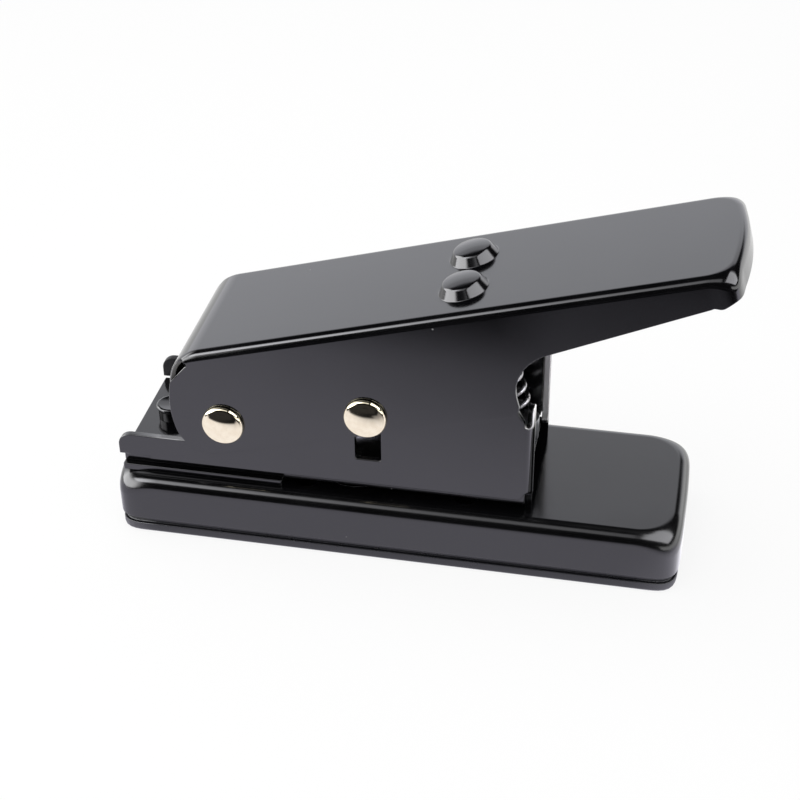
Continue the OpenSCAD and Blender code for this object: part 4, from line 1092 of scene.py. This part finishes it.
class LEVERPUNCH_OT_handle(PieceOperator, Operator):
    """Pressed handle with drawn nose, curled lip and two spring dimples"""
    bl_idname = "lever_punch.handle"
    bl_label = "Handle"

    def build(self, sizes):
        lever = sizes.handle
        rows = self.dimple_profile(lever)
        axes, origin = handle_axes(lever), pivot(sizes.pins)
        round_r = lever.flat_r + lever.fold_r
        inner = lever.half - round_r
        bow_x, bow = lever.reach - lever.bow_r, lever.bow_r - round_r
        corner_x = bow_x + np.sqrt(bow ** 2 - inner ** 2)
        wide = np.arctan2(inner, corner_x - bow_x)
        fold = lever.half - lever.fold_r
        slit = fold + lever.slit_fold
        lip_end = -lever.lip_r * lever.lip_angle
        lip_round, lip_fade, neck_x, flare_x, flare_y = np.array([1, 3, -7.5, 0.6, 0.4]) * MM
        lip_edge = rounded([[lever.slit_x, slit - lever.slit_r],
                            [lever.slit_x - flare_x, lever.lip_half + flare_y],
                            [neck_x, lever.lip_half], [lip_end, lever.lip_half]],
                           lip_round, closed=False)
        dimples = np.array([[lever.dimple_at, side * lever.dimple_side] for side in SIDES])

        def nose_feet(uv):
            """Nearest point of the panel's middle, with its bowed front, and the wall's distance
            from it."""
            foot = np.stack([np.minimum(uv[:, 0], corner_x), np.clip(uv[:, 1], -inner, inner)], 1)
            from_bow = uv - [bow_x, 0]
            turn = np.abs(np.arctan2(from_bow[:, 1], from_bow[:, 0]))
            far = np.linalg.norm(from_bow, axis=1)
            bowed = (uv[:, 0] > bow_x) & (turn < wide)
            near = np.minimum(1, bow / np.maximum(far, MM))
            foot[bowed] = (from_bow * near[:, None] + [bow_x, 0])[bowed]
            away = uv - foot
            turn = (np.arctan2(np.abs(away[:, 1]), away[:, 0]) - wide) / (QUARTER - wide)
            corner = (uv[:, 0] > corner_x) & ~bowed
            return foot, np.where(corner, nose_wall(turn), round_r)

        def nose_wall(turn):
            """Distance of a corner's wall, by the share of the way round it."""
            way = ways_at(np.clip(turn, 0, 1) * QUARTER)
            return corner_wall(way, round_r, lever.corner_power)

        shell = drawn(nose_feet, lever.flat_r, lever.rise)

        def front(uv):
            """Drawn shell with a lip curled about a level axis, faded out where it joins the
            flange, and with the dimples' heights added."""
            points = shell(uv)
            along, across = uv[:, 0], np.abs(uv[:, 1])
            curl = np.maximum(-along, 0) / lever.lip_r
            inside = lever.lip_r - lever.rise + points[:, 2]
            rolled = np.stack([np.maximum(along, 0) - inside * np.sin(curl), points[:, 1],
                               lever.rise - lever.lip_r + inside * np.cos(curl)], 1)
            down = np.clip((across - fold) / (slit - fold), 0, 1)
            back = np.clip((along - lever.slit_x) / lip_fade + 1, 0, 1)
            stay = smooth(down) * smooth(back)
            lip = (along < 0) & ((across < slit) | (along > lever.slit_x))
            points[lip] += ((rolled - points) * (1 - stay)[:, None])[lip]
            for centre in dimples:
                points[:, 2] += np.interp(np.linalg.norm(uv - centre, axis=1), *rows.T, right=0)
            return points @ axes + origin

        def side(x, z):
            """Blank coordinates of a place on the far flange, from its length and height."""
            depth = lever.rise - np.asarray(z)
            turn = np.arccos(np.clip(1 - depth / lever.fold_r, 0, 1))
            straight = np.maximum(depth - lever.fold_r, 0)
            return np.stack(np.broadcast_arrays(x, fold + lever.fold_r * turn + straight), -1)

        turn = np.linspace(0, 1, 49)
        wall = nose_wall(turn)
        round_way = ways_at(wide + (QUARTER - wide) * turn)
        depth = np.interp(corner_x + wall * round_way[:, 0], *self.nose_edge(lever).T)
        corner = [corner_x, inner] + skirt(wall, lever.flat_r, depth)[:, None] * round_way
        nose_r = bow + skirt(round_r, lever.flat_r, lever.nose_depth)
        half = np.vstack([
            arc((bow_x, 0), nose_r, 0, np.degrees(wide), 12), corner,
            side(*self.flange_edge(lever).T),
            arc((lever.slit_x, slit), lever.slit_r, 90, -90, 8), lip_edge[1:-1],
            arc((lip_end + lip_round, lever.lip_half - lip_round), lip_round, 90, 180, 4),
            [[lip_end, 0]]])
        lip_clear, slit_clear, curl_start, panel_start = np.array([0.8, 1.3, 1, 4]) * MM
        folds = []
        for t in np.linspace(0, QUARTER, 11):
            far = fold + lever.fold_r * t
            start = lever.slit_x + slit_clear
            if far < slit - lever.slit_r:
                start = max(np.interp(far, *lip_edge[::-1, ::-1].T), lip_end) + lip_clear
            straight = np.concatenate([np.linspace(start, curl_start, 14),
                                       np.linspace(panel_start, corner_x, 30)[:-1]])
            reach = (lever.flat_r + (wall[::-1] - lever.flat_r) * t)[:, None]
            ahead = arc((bow_x, 0), bow + lever.flat_r + lever.fold_r * t, np.degrees(wide), 0, 8)
            line = np.vstack([np.column_stack([straight, np.full(len(straight), far)]),
                              [corner_x, inner] + reach * round_way[::-1], ahead[1:]])
            folds.append(np.vstack([line, line[-2::-1] * [1, -1]]))
        fold_clear, end_clear = 0.4 * MM, 1 * MM
        across = np.linspace(-1, 1, 24) * (fold - fold_clear)
        curls = [crossline(x, across) for x in np.linspace(0, lip_end + end_clear, 14)]
        rings = [circle(centre, r, 56) for centre in dimples for r in rows[1:, 0]]
        holes = []
        for y_side in SIDES:
            hole, slot_front, slot_rear = [side(x, z) * [1, y_side] for x, z in (
                (0, 0), (lever.slot_front, lever.slot_z), (lever.slot_rear, lever.slot_z))]
            holes += [circle(hole, lever.hole_r, 40),
                      np.vstack([arc(slot_front, lever.slot_r, -90, 90, 20),
                                 arc(slot_rear, lever.slot_r, 90, 270, 20)])]
        surface = pressed_sheet(bent(front), mirrored_loop(half), holes, lever.sheet, lever.rim_r,
                                rings=rings, lines=folds + curls)
        made = piece("handle_pressing", surface, "black_paint", "handle", "handle")
        x, y, z = ((surface.points - origin) @ axes.T).T
        # The lip's side cut faces get a share of unpainted metal, which paints them lighter, as a
        # highlight would.
        inside, lip_low, bare_and_painted_light = lever.half - lever.sheet - 0.05 * MM, 8 * MM, 0.22
        lip = (x < lever.slit_x) & (z > lip_low) & (np.abs(y) < inside)
        point_attributes(made, bare=np.where(lip & (np.abs(surface.normals[:, 1]) > 0.5), bare_and_painted_light, 0))

    @staticmethod
    def nose_edge(lever):
        """Rows of place and depth of the lower edge: end of the grip, lobe and nose."""
        end, grip, nose = lever.grip_end, lever.grip_depth, lever.nose_depth
        run, edge_r, nick_depth, toe_depth = np.array([4, 0.8, 0.2, 0.5]) * MM
        nick, lobe, toe, nose_start = end + np.array([0.3, 1.9, 4.3, 5.6]) * MM
        return rounded([[end - run, grip + run * np.tan(lever.taper)], [end, grip],
                        [nick, grip - nick_depth], [lobe, lever.lobe_depth],
                        [toe, nose + toe_depth], [nose_start, nose], [lever.reach, nose]],
                       edge_r, closed=False)

    @staticmethod
    def flange_edge(lever):
        """Lower and rear edge of a flange as length and height: step to the grip, toe, heel and
        back."""
        taper = lever.taper
        step_x, heel_z = lever.front + lever.step_r, lever.heel_r - lever.drop
        step_z = (lever.rise - lever.grip_depth - (lever.grip_end - step_x) * np.tan(taper)
                  - lever.step_r / np.cos(taper))
        top_turn = np.degrees(np.arcsin((lever.back_top - heel_z) / lever.back_r))
        return np.vstack([
            arc((step_x, step_z), lever.step_r, 90 + np.degrees(taper), 180, 14),
            arc((lever.front - lever.toe_r, lever.toe_r - lever.drop), lever.toe_r, 0, -90, 8),
            arc((lever.heel_r - lever.back, heel_z), lever.heel_r, -90, -180, 16),
            arc((lever.back_r - lever.back, heel_z), lever.back_r, 180, 180 - top_turn, 40)])

    @staticmethod
    def dimple_profile(lever):
        """Rows of radius and height: crowned top, rounded shoulder, cone and rounded foot."""
        reach = lever.dimple_top_r * np.linspace(0, 1, 6)
        crown = cap_height(lever.dimple_top_r, lever.dimple_crown, reach)
        top = np.stack([reach, lever.dimple_h - lever.dimple_crown + crown], 1)
        margin, shoulder_r, foot_r = np.array([1, 0.5, 0.2]) * MM
        corners = np.vstack([top, [[lever.dimple_r, 0], [lever.dimple_r + margin, 0]]])
        radius = [0] * (len(top) - 1) + [shoulder_r, foot_r, 0]
        return rounded(corners, radius, closed=False, steps=6)


class LEVERPUNCH_OT_pins(PieceOperator, Operator):
    """Pivot and drive pin with their caps, and the spacer tube"""
    bl_idname = "lever_punch.pins"
    bl_label = "Pins"

    def build(self, sizes):
        pins = sizes.pins
        near = np.array([X_AXIS, Z_AXIS, -Y_AXIS])
        far = np.array([X_AXIS, -Z_AXIS, Y_AXIS])
        head = crowned(pins)
        spigot = -pins.seat - pins.head_h / 2
        shaft = np.vstack([[[AXIS_R, spigot], [pins.spigot_r, spigot], [pins.spigot_r, -pins.seat],
                            [pins.r, -pins.seat], [pins.r, pins.seat]], head])
        bore_r = pins.spigot_r + pins.fit
        bore_top = pins.seat + pins.head_h / 2 + pins.fit
        cap = np.vstack([[[AXIS_R, bore_top], [bore_r, bore_top], [bore_r, pins.seat]], head])
        places = (("pivot", pins.pivot_x, pins.pivot_z, "base"),
                  ("drive", pins.drive_x, pins.drive_z, "punch"))
        for name, x, z, body in places:
            piece(f"{name}_pin_turned", moved(turned(shaft, pins.rim_r, turns=96), (x, 0, z), near),
                  "nickel", body, f"{name}_pin")
            piece(f"{name}_cap_turned", moved(turned(cap, pins.rim_r, turns=96), (x, 0, z), far),
                  "nickel", body, f"{name}_pin_cap")
        inner = sizes.frame.half - sizes.frame.sheet
        bore = pins.r + pins.fit
        wall = [[pins.tube_r, -inner], [pins.tube_r, inner], [bore, inner], [bore, -inner]]
        piece("pivot_tube", moved(turned(wall, pins.rim_r, closed=True), pivot(pins), near),
              "zinc_steel", "base", "pivot_spacer_tube")


class LEVERPUNCH_OT_rivets(PieceOperator, Operator):
    """Guide rivets, die rivets and the dished rear post"""
    bl_idname = "lever_punch.rivets"
    bl_label = "Rivets"

    def build(self, sizes):
        pins, base, plates = sizes.pins, sizes.base, sizes.plates
        under = base.top - base.sheet
        r, head_r, head_h = pins.rivet_r, pins.rivet_head_r, pins.rivet_head_h

        def foot(level):
            """Profile of a rivet's lower head under a level."""
            return [[AXIS_R, level - head_h], [head_r, level - head_h], [head_r, level], [r, level]]

        edge_r, flush_r, rim = 0.1 * MM, 0.05 * MM, 0.3 * MM
        guide = turned(np.vstack([foot(under), [[r, plates.guide_top]],
                                  dome(head_r, plates.guide_top, rim, head_h)]), edge_r)
        pair = repeated(guide, both_sides(pins.guide_rivet_x, pins.guide_rivet_y))
        piece("guide_rivet_pair", pair, "zinc_steel", "base", "guide_rivets")
        sunk = [[r, under], [head_r, base.top], [AXIS_R, base.top]]
        die = turned(np.vstack([foot(pins.die_low), sunk]), flush_r)
        corners = [(pins.die_x + x * pins.die_rivet_x, y * pins.die_rivet_y, 0)
                   for x in SIDES for y in SIDES]
        piece("die_rivet_set", repeated(die, corners), "zinc_steel", "base", "die_rivets")
        roll = pins.post_head_h / 2
        edge = pins.post_head_r - roll
        bowl_rim, bowl_end = 0.92, 0.05
        reach = edge * np.linspace(bowl_rim, bowl_end, 10)
        bowl = np.stack([reach, pins.post_top - cap_height(edge, pins.post_dish, reach)], 1)
        post = np.vstack([foot(under), [[r, plates.guide_top], [pins.post_r, plates.guide_top],
                                        [pins.post_r, pins.post_top - pins.post_head_h]],
                          arc((edge, pins.post_top - roll), roll, -60, 90, 12), bowl])
        piece("rear_post_turned", moved(turned(post, edge_r), (pins.post_x, 0, 0)),
              "black_paint", "base", "rear_post")


class LEVERPUNCH_OT_springs(PieceOperator, Operator):
    """Two return springs and the slanted seats under them"""
    bl_idname = "lever_punch.springs"
    bl_label = "Springs"

    def build(self, sizes):
        lever, coil, plates = sizes.handle, sizes.springs, sizes.plates
        axes, origin = handle_axes(lever), pivot(sizes.pins)
        tube = self.wound_wire(coil)
        for name, side in zip(("near", "far"), SIDES):
            foot = np.array([lever.dimple_at, side * lever.dimple_side, 0])
            surface = moved(moved(tube, foot), origin, axes)
            made = piece(f"coil_{name}", surface, "spring_steel", None, f"return_spring_{name}")
            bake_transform(made)
        r = sizes.pins.rivet_r
        profile = [[AXIS_R, plates.spacer_top], [r, plates.spacer_top], [r, plates.guide_top],
                   [coil.seat_r, plates.guide_top], [coil.seat_r, coil.seat_z],
                   [AXIS_R, coil.seat_z]]
        seat_edge_r = 0.1 * MM
        seat = turned(profile, seat_edge_r)
        foot_h = 1 * MM
        high = seat.points[:, 2] > plates.guide_top + foot_h
        seat.points[high, 2] += seat.points[high, 0] * np.tan(lever.tilt)
        seat.normals[high] = unit(seat.normals[high] + (seat.normals[high] @ Z_AXIS)[:, None]
                                  * (-np.tan(lever.tilt) * X_AXIS))
        piece("spring_seat_pair", repeated(seat, both_sides(coil.seat_x, lever.dimple_side)),
              "zinc_steel", "base", "spring_seats")

    @staticmethod
    def wound_wire(coil, rings=36, around=14):
        """Wire along a path: straight end, elbow on the coils' cylinder, helix, elbow, straight
        end. Each ring lies square to the path, from its side and the cross product with its
        direction."""
        low = coil.low + 2 * coil.wire_r + coil.elbow_r
        high = coil.high - 2 * coil.wire_r - coil.elbow_r
        last = 2 * np.pi * coil.coils
        turn = np.linspace(0, last, rings * coil.coils + 1)
        bend = np.linspace(0, QUARTER, 9)[1:]
        swing = coil.elbow_r * np.sin(bend) / coil.r
        rise = coil.elbow_r * (1 - np.cos(bend))
        end = 2 * coil.wire_r
        place = np.concatenate([[-swing[-1]], -swing[::-1], turn, last + swing, [last + swing[-1]]])
        height = np.concatenate([[low - rise[-1] - end], low - rise[::-1],
                                 low + (high - low) * turn / last,
                                 high + rise, [high + rise[-1] + end]])
        pitch = np.arctan((high - low) / last / coil.r)
        lean = np.concatenate([[QUARTER], bend[::-1], np.full(len(turn), pitch), bend, [QUARTER]])
        side = np.stack([np.cos(place), np.sin(place), np.zeros(len(place))], 1)
        way = np.stack([-np.sin(place) * np.cos(lean), np.cos(place) * np.cos(lean),
                        np.sin(lean)], 1)
        middle = coil.r * side + height[:, None] * Z_AXIS
        beta = np.linspace(0, 2 * np.pi, around + 1)[:-1][None, :, None]
        normals = np.cos(beta) * side[:, None] + np.sin(beta) * np.cross(way, side)[:, None]
        points = middle[:, None] + coil.wire_r * normals
        total = len(middle) * around
        grid = np.arange(total).reshape(len(middle), around)
        return facing(Surface(np.vstack([points.reshape(-1, 3), middle[[0, -1]]]),
                              np.vstack([normals.reshape(-1, 3), -way[0], way[-1]]),
                              [strip(grid), fan(grid[0], total), fan(grid[-1], total + 1)]))


class LEVERPUNCH_OT_cutter(PieceOperator, Operator):
    """Punch, its yoke and screws, and the die plate"""
    bl_idname = "lever_punch.cutter"
    bl_label = "Punch and Die"

    def build(self, sizes):
        plates, bracket, pins = sizes.plates, sizes.frame, sizes.pins
        kept("die_plate", "tool_steel")
        height = plates.punch_top - plates.punch_low
        middle = plates.pick_back + plates.pick_length / 2
        slope = plates.punch_hollow / (plates.pick_length / 2)

        def punch_place(uv, depth):
            """Block whose face is hollowed to a V: at a share of the depth a point lies that share
            of height - (hollow - slope |x - middle|) below the top."""
            deep = np.broadcast_to(depth, len(uv)) / height
            hollow = plates.punch_hollow - slope * np.abs(uv[:, 0] - middle)
            level = plates.punch_top - deep * (height - hollow)
            lean = np.where(deep > 0.5, -slope * np.sign(uv[:, 0] - middle), 0)
            normal = unit(np.stack([-lean, np.zeros(len(uv)), np.ones(len(uv))], 1))
            return np.column_stack([uv, level]), normal

        block_rim, yoke_rim = 0.08 * MM, 0.2 * MM
        crease_share = 0.42
        crease = crossline(middle, np.linspace(-1, 1, 9) * plates.pick_width * crease_share)
        block = pressed_sheet(punch_place, pick_loop(plates), [], height, block_rim, lines=[crease])
        piece("punch_block", block, "tool_steel", "punch", "punch")

        flat, bend_r = bracket.yoke_half - bracket.yoke_bend_r, bracket.yoke_bend_r
        bend, ear_r = bend_r * QUARTER, bracket.yoke_ear_r

        def yoke_front(uv):
            """Strip bent to an upright U: the first coordinate runs up both ears, and the second
            is the length from the drive pin."""
            across, depth = u_bend(uv[:, 0], flat, bend_r)
            return np.stack([pins.drive_x + uv[:, 1], across, plates.punch_top + depth], 1)

        ear = flat + bend + pins.drive_z - plates.punch_top - bend_r
        outline = np.vstack([arc((ear, 0), ear_r, -90, 90, 24), arc((-ear, 0), ear_r, 90, 270, 24)])
        holes = [circle((side * u, 0), r + pins.fit, steps) for u, r, steps in
                 ((ear, pins.r, 40), (pins.screw_y, pins.screw_r, 32)) for side in SIDES]
        edge_clear = 0.6 * MM
        wide = np.linspace(-1, 1, 6) * (ear_r - edge_clear)
        bends = [crossline(side * t, wide)
                 for t in flat + bend * np.linspace(0, 1, 9) for side in SIDES]
        yoke = pressed_sheet(bent(yoke_front), outline, holes, bracket.yoke_sheet, yoke_rim,
                             lines=bends)
        piece("yoke_bracket", yoke, "zinc_steel", "punch", "punch_yoke")
        screw = self.screw(plates, bracket, pins)
        piece("yoke_screw_pair", repeated(screw, both_sides(pins.drive_x, pins.screw_y)),
              "zinc_steel", "punch", "yoke_screws")

    @staticmethod
    def screw(plates, bracket, pins):
        """Screw with a domed head: the socket's radius follows a hexagon, r cos 30 / cos of the
        angle from the nearest flat."""
        seat = plates.punch_top + bracket.yoke_sheet
        rim, edge_r, turns = 1 * MM, 0.12 * MM, 72
        head = dome(pins.screw_head_r, seat, rim, pins.screw_head_h)
        head = head[head[:, 0] > pins.socket_r]
        floor = seat + pins.screw_head_h - pins.socket_depth
        low = plates.punch_top - pins.screw_depth
        shank = [[AXIS_R, low], [pins.screw_r, low], [pins.screw_r, seat],
                 [pins.screw_head_r, seat]]
        outside = rounded(np.vstack([shank, head]), edge_r, closed=False)
        socket = np.array([[pins.socket_r, head[-1, 1]], [pins.socket_r, floor], [AXIS_R, floor]])
        turn = np.linspace(0, 2 * np.pi, turns + 1)[:-1]
        flats = np.cos(np.pi / 6) / np.cos(turn % (np.pi / 3) - np.pi / 6)
        radial = np.vstack([np.ones((len(outside), turns)), np.tile(flats, (len(socket), 1))])
        return swept(np.vstack([outside, socket]), np.zeros((turns, 2)), ways_at(turn),
                     radial=radial)


# Stage

def emptied(owner):
    """Node tree of a material or a world, without its nodes."""
    owner.use_nodes = True
    owner.node_tree.nodes.clear()
    return owner.node_tree


def mixed(tree, factor, first, second):
    """Shader between two by a factor."""
    return wire(tree, "ShaderNodeMixShader", {0: factor, 1: first, 2: second}).outputs[0]


def light(tree, kind, tone, strength=1.0):
    """Shader that gives light of a colour: Emission on a sheet, Background in the world."""
    return wire(tree, f"ShaderNode{kind}", {"Color": rgba(tone), "Strength": strength}).outputs[0]


def looked_at(tree, path):
    """1 for a ray that comes from the camera, also through glass."""
    return calc(tree, "MAXIMUM", path.outputs["Is Camera Ray"], path.outputs["Is Transmission Ray"])


def position(tree, output):
    """Coordinates and their X, Y and Z."""
    coords = wire(tree, "ShaderNodeTexCoord", {}).outputs[output]
    return coords, *wire(tree, "ShaderNodeSeparateXYZ", {"Vector": coords}).outputs


def distance(tree, coords, centre):
    """Distance of coordinates from a point."""
    return wire(tree, "ShaderNodeVectorMath", {0: coords, 1: centre},
                operation="DISTANCE").outputs["Value"]


def ramped(tree, factor, stops, ease="LINEAR"):
    """Colour from stops of place and colour, of which the first two are a new ramp's own ends."""
    made = wire(tree, "ShaderNodeValToRGB", {"Fac": factor})
    made.color_ramp.interpolation = ease
    ends = made.color_ramp.elements
    for i, (at, tone) in enumerate(stops):
        stop = ends[i] if i < 2 else ends.new(at)
        stop.position, stop.color = at, rgba(tone)
    return made.outputs["Color"]


def level_sheet(name, low, high, height, face, look):
    """Level sheet of the stage between two corners, with its material."""
    mesh = bpy.data.meshes.new(name)
    corners = np.column_stack([rectangle(low, high), np.full(4, height)])
    mesh.from_pydata(corners.tolist(), [], [face])
    mesh.materials.append(look)
    made = bpy.data.objects.new(name, mesh)
    bpy.context.collection.objects.link(made)
    return made


class LEVERPUNCH_OT_stage(Operator):
    """White floor, soft lights and the camera"""
    bl_idname = "lever_punch.stage"
    bl_label = "Studio"
    bl_options = {"REGISTER", "UNDO"}

    def execute(self, context):
        studio = context.scene.lever_punch.studio
        self.floor(studio)
        self.world(context.scene, studio)
        self.lights(studio)
        self.camera(context.scene, studio)
        context.scene.view_settings.view_transform = "Standard"
        return {"FINISHED"}

    @staticmethod
    def floor(studio):
        """White paper: seen directly it is nearly all its own white, with a share of shade. In
        reflections it glows, less so in front and round a shaded place at the front right, and more
        so to the right and near the base's end."""
        shade_at, shade_scale, end_at = (0.08, -0.255, 0), (1, 1.7, 1), (0.09, -0.01, 0)
        cool, warm, grey = (0.97, 0.945, 1.09), (1.03, 1.03, 1.03), (0.9, 0.9, 0.9)
        look = bpy.data.materials.new("studio_paper")
        tree = emptied(look)
        path = wire(tree, "ShaderNodeLightPath", {})
        coords, x, y, _ = position(tree, "Object")
        scaled = wire(tree, "ShaderNodeVectorMath", {0: coords, 1: shade_scale},
                      operation="MULTIPLY").outputs["Vector"]
        ahead = calc(tree, "MULTIPLY", spread(tree, x, 0, 1, 0, 0.03),
                     spread(tree, y, 0.03, 1, -0.17, -0.13))
        lit = calc(tree, "MAXIMUM", spread(tree, y, 0.03, 1, -0.125, -0.095), ahead)
        for share in (spread(tree, distance(tree, scaled, shade_at), 0.26, 1.04, 0.05, 0.2),
                      spread(tree, x, 1, 1.6, 0.1, 0.3),
                      spread(tree, distance(tree, coords, end_at), 1.8, 1, 0.015, 0.045)):
            lit = calc(tree, "MULTIPLY", lit, share)
        tint = blended(tree, spread(tree, y, 0, 1, -0.03, 0.02), cool, warm)
        paper = wire(tree, "ShaderNodeBsdfDiffuse", {"Color": rgba(grey)}).outputs[0]
        direct = mixed(tree, studio.floor_share, light(tree, "Emission", WHITE), paper)
        shade = mixed(tree, looked_at(tree, path), paper, direct)
        glow = light(tree, "Emission", tint, lit)
        shade = mixed(tree, path.outputs["Is Glossy Ray"], shade, glow)
        wire(tree, "ShaderNodeOutputMaterial", {"Surface": shade})
        half = studio.floor
        ground = level_sheet("studio_floor", (-half, -half), (half, half), 0, (0, 1, 2, 3), look)

    @staticmethod
    def world(scene, studio):
        """White all round to the eye; in reflections a bright wall behind that falls off upwards,
        light to the left and right, and a dark room in front."""
        dark, left_tone, right_tone = (0.012, 0.011, 0.011), (6.0, 6.0, 6.1), (1.9, 1.9, 1.9)
        stops = ((0.0, (1.5, 1.5, 1.58)), (1.0, (0.01, 0.01, 0.01)), (0.25, (1.43, 1.45, 1.54)),
                 (0.34, (1.12, 1.13, 1.20)), (0.42, (1.10, 1.11, 1.19)),
                 (0.53, (0.03, 0.03, 0.035)))
        scene.world = bpy.data.worlds.new("studio_world")
        tree = emptied(scene.world)
        path = wire(tree, "ShaderNodeLightPath", {})
        _, x, y, z = position(tree, "Generated")
        slope = calc(tree, "DIVIDE", z, calc(tree, "MAXIMUM", y, 0.05))
        wall = ramped(tree, calc(tree, "MULTIPLY", slope, 0.5), stops, "EASE")
        room = blended(tree, spread(tree, y, 0, 1, -0.1, 0.15), dark, wall)
        above = calc(tree, "MULTIPLY", spread(tree, x, 0, 1, 0.16, 0.32),
                     spread(tree, slope, 0, 1, 0.3, 0.55))
        right = calc(tree, "MULTIPLY", spread(tree, x, 0, 1, 0.42, 0.52),
                     spread(tree, z, 1, 0, 0.2, 0.33))
        low = calc(tree, "MULTIPLY", spread(tree, z, 1, 0, 0.45, 0.7),
                   spread(tree, y, 1, 0, 0.2, 0.5))
        left = calc(tree, "MULTIPLY", spread(tree, x, 1, 0, -0.72, -0.5), low)
        for patch, tone in ((above, dark), (right, right_tone), (left, left_tone)):
            room = blended(tree, patch, room, tone)
        fill = light(tree, "Background", WHITE, studio.fill)
        shade = mixed(tree, path.outputs["Is Glossy Ray"], fill, light(tree, "Background", room))
        shade = mixed(tree, looked_at(tree, path), shade, light(tree, "Background", WHITE))
        wire(tree, "ShaderNodeOutputWorld", {"Surface": shade})

    def lights(self, studio):
        """Large soft light overhead, hidden from reflections, and two softboxes that only
        reflections show."""
        data = bpy.data.lights.new("studio_soft", "AREA")
        data.shape, data.size, data.size_y, data.energy = "RECTANGLE", 0.6, 0.4, studio.light
        soft = bpy.data.objects.new("studio_soft", data)
        place = Vector((-0.1, -0.05, 0.5))
        soft.location, soft.rotation_euler = place, (-place).to_track_quat("-Z", "Y").to_euler()
        soft.visible_glossy = False
        bpy.context.collection.objects.link(soft)
        self.softbox("studio_left", (-0.50, -0.43), (0.06, -0.10),
                     ((0.0, 9.0), (1.0, 1.0), (0.42, 5.2), (0.65, 1.9), (0.8, 1.05)))
        self.softbox("studio_right", (0.12, -0.40), (0.75, 0.20), ((0.0, 3.4), (1.0, 4.6)))

    @staticmethod
    def softbox(name, low, high, stops):
        """Level sheet of light over the piece: its strength follows stops along X and fades at the
        sides."""
        (left, front), (right, back) = low, high
        height, fade, blue = 0.4, 0.08, 1.04
        look = bpy.data.materials.new(name)
        tree = emptied(look)
        _, x, y, _ = position(tree, "Object")
        along = wire(tree, "ShaderNodeMapRange",
                     {"Value": x, "From Min": left, "From Max": right}).outputs["Result"]
        tone = ramped(tree, along, [(at, (value, value, value * blue)) for at, value in stops])
        sides = calc(tree, "MULTIPLY", spread(tree, y, 0, 1, front, front + fade),
                     spread(tree, y, 1, 0, back - fade, back))
        wire(tree, "ShaderNodeOutputMaterial", {"Surface": light(tree, "Emission", tone, sides)})
        box = level_sheet(name, low, high, height, (0, 3, 2, 1), look)
        box.visible_camera = box.visible_diffuse = False
        box.visible_transmission = box.visible_shadow = False

    @staticmethod
    def camera(scene, studio):
        """Camera from its yaw, pitch and roll."""
        yaw, pitch, roll = studio.yaw, studio.pitch, studio.roll
        ahead = Vector((np.sin(yaw) * np.cos(pitch), np.cos(yaw) * np.cos(pitch), -np.sin(pitch)))
        right = Vector((np.cos(yaw), -np.sin(yaw), 0))
        up = right.cross(ahead)
        level = right * np.cos(roll) + up * np.sin(roll)
        tilt = up * np.cos(roll) - right * np.sin(roll)
        data = bpy.data.cameras.new("studio_camera")
        data.sensor_width, data.lens = 36.0, studio.lens
        data.clip_start, data.clip_end = 0.01, 20.0
        made = bpy.data.objects.new("studio_camera", data)
        turn = Matrix((level, tilt, -ahead)).transposed().to_4x4()
        made.matrix_world = Matrix.Translation(studio.camera) @ turn
        bpy.context.collection.objects.link(made)
        scene.camera = made


OPERATORS = (LEVERPUNCH_OT_base_shell, LEVERPUNCH_OT_bottom_cover, LEVERPUNCH_OT_plates,
             LEVERPUNCH_OT_frame, LEVERPUNCH_OT_handle, LEVERPUNCH_OT_pins, LEVERPUNCH_OT_rivets,
             LEVERPUNCH_OT_springs, LEVERPUNCH_OT_cutter, LEVERPUNCH_OT_stage)


class LEVERPUNCH_PT_sidebar(Panel):
    """Lists the lever punch's pieces"""
    bl_label = "Lever Punch"
    bl_space_type = "VIEW_3D"
    bl_region_type = "UI"
    bl_category = "Lever Punch"

    def draw(self, context):
        for operator in OPERATORS:
            self.layout.operator(operator.bl_idname)


CLASSES = (BaseSizes, PlateSizes, FrameSizes, HandleSizes, PinSizes, SpringSizes, Finishes, Studio,
           LeverPunch, *OPERATORS, LEVERPUNCH_PT_sidebar)


def register():
    for kind in CLASSES:
        bpy.utils.register_class(kind)
    bpy.types.Scene.lever_punch = PointerProperty(type=LeverPunch)


def unregister():
    del bpy.types.Scene.lever_punch
    for kind in reversed(CLASSES):
        bpy.utils.unregister_class(kind)


def main():
    register()
    bpy.ops.lever_punch.base_shell()
    bpy.ops.lever_punch.bottom_cover()
    bpy.ops.lever_punch.plates()
    bpy.ops.lever_punch.frame()
    bpy.ops.lever_punch.handle()
    bpy.ops.lever_punch.pins()
    bpy.ops.lever_punch.rivets()
    bpy.ops.lever_punch.springs()
    bpy.ops.lever_punch.cutter()
    bpy.ops.lever_punch.stage()


if __name__ == "__main__":
    main()
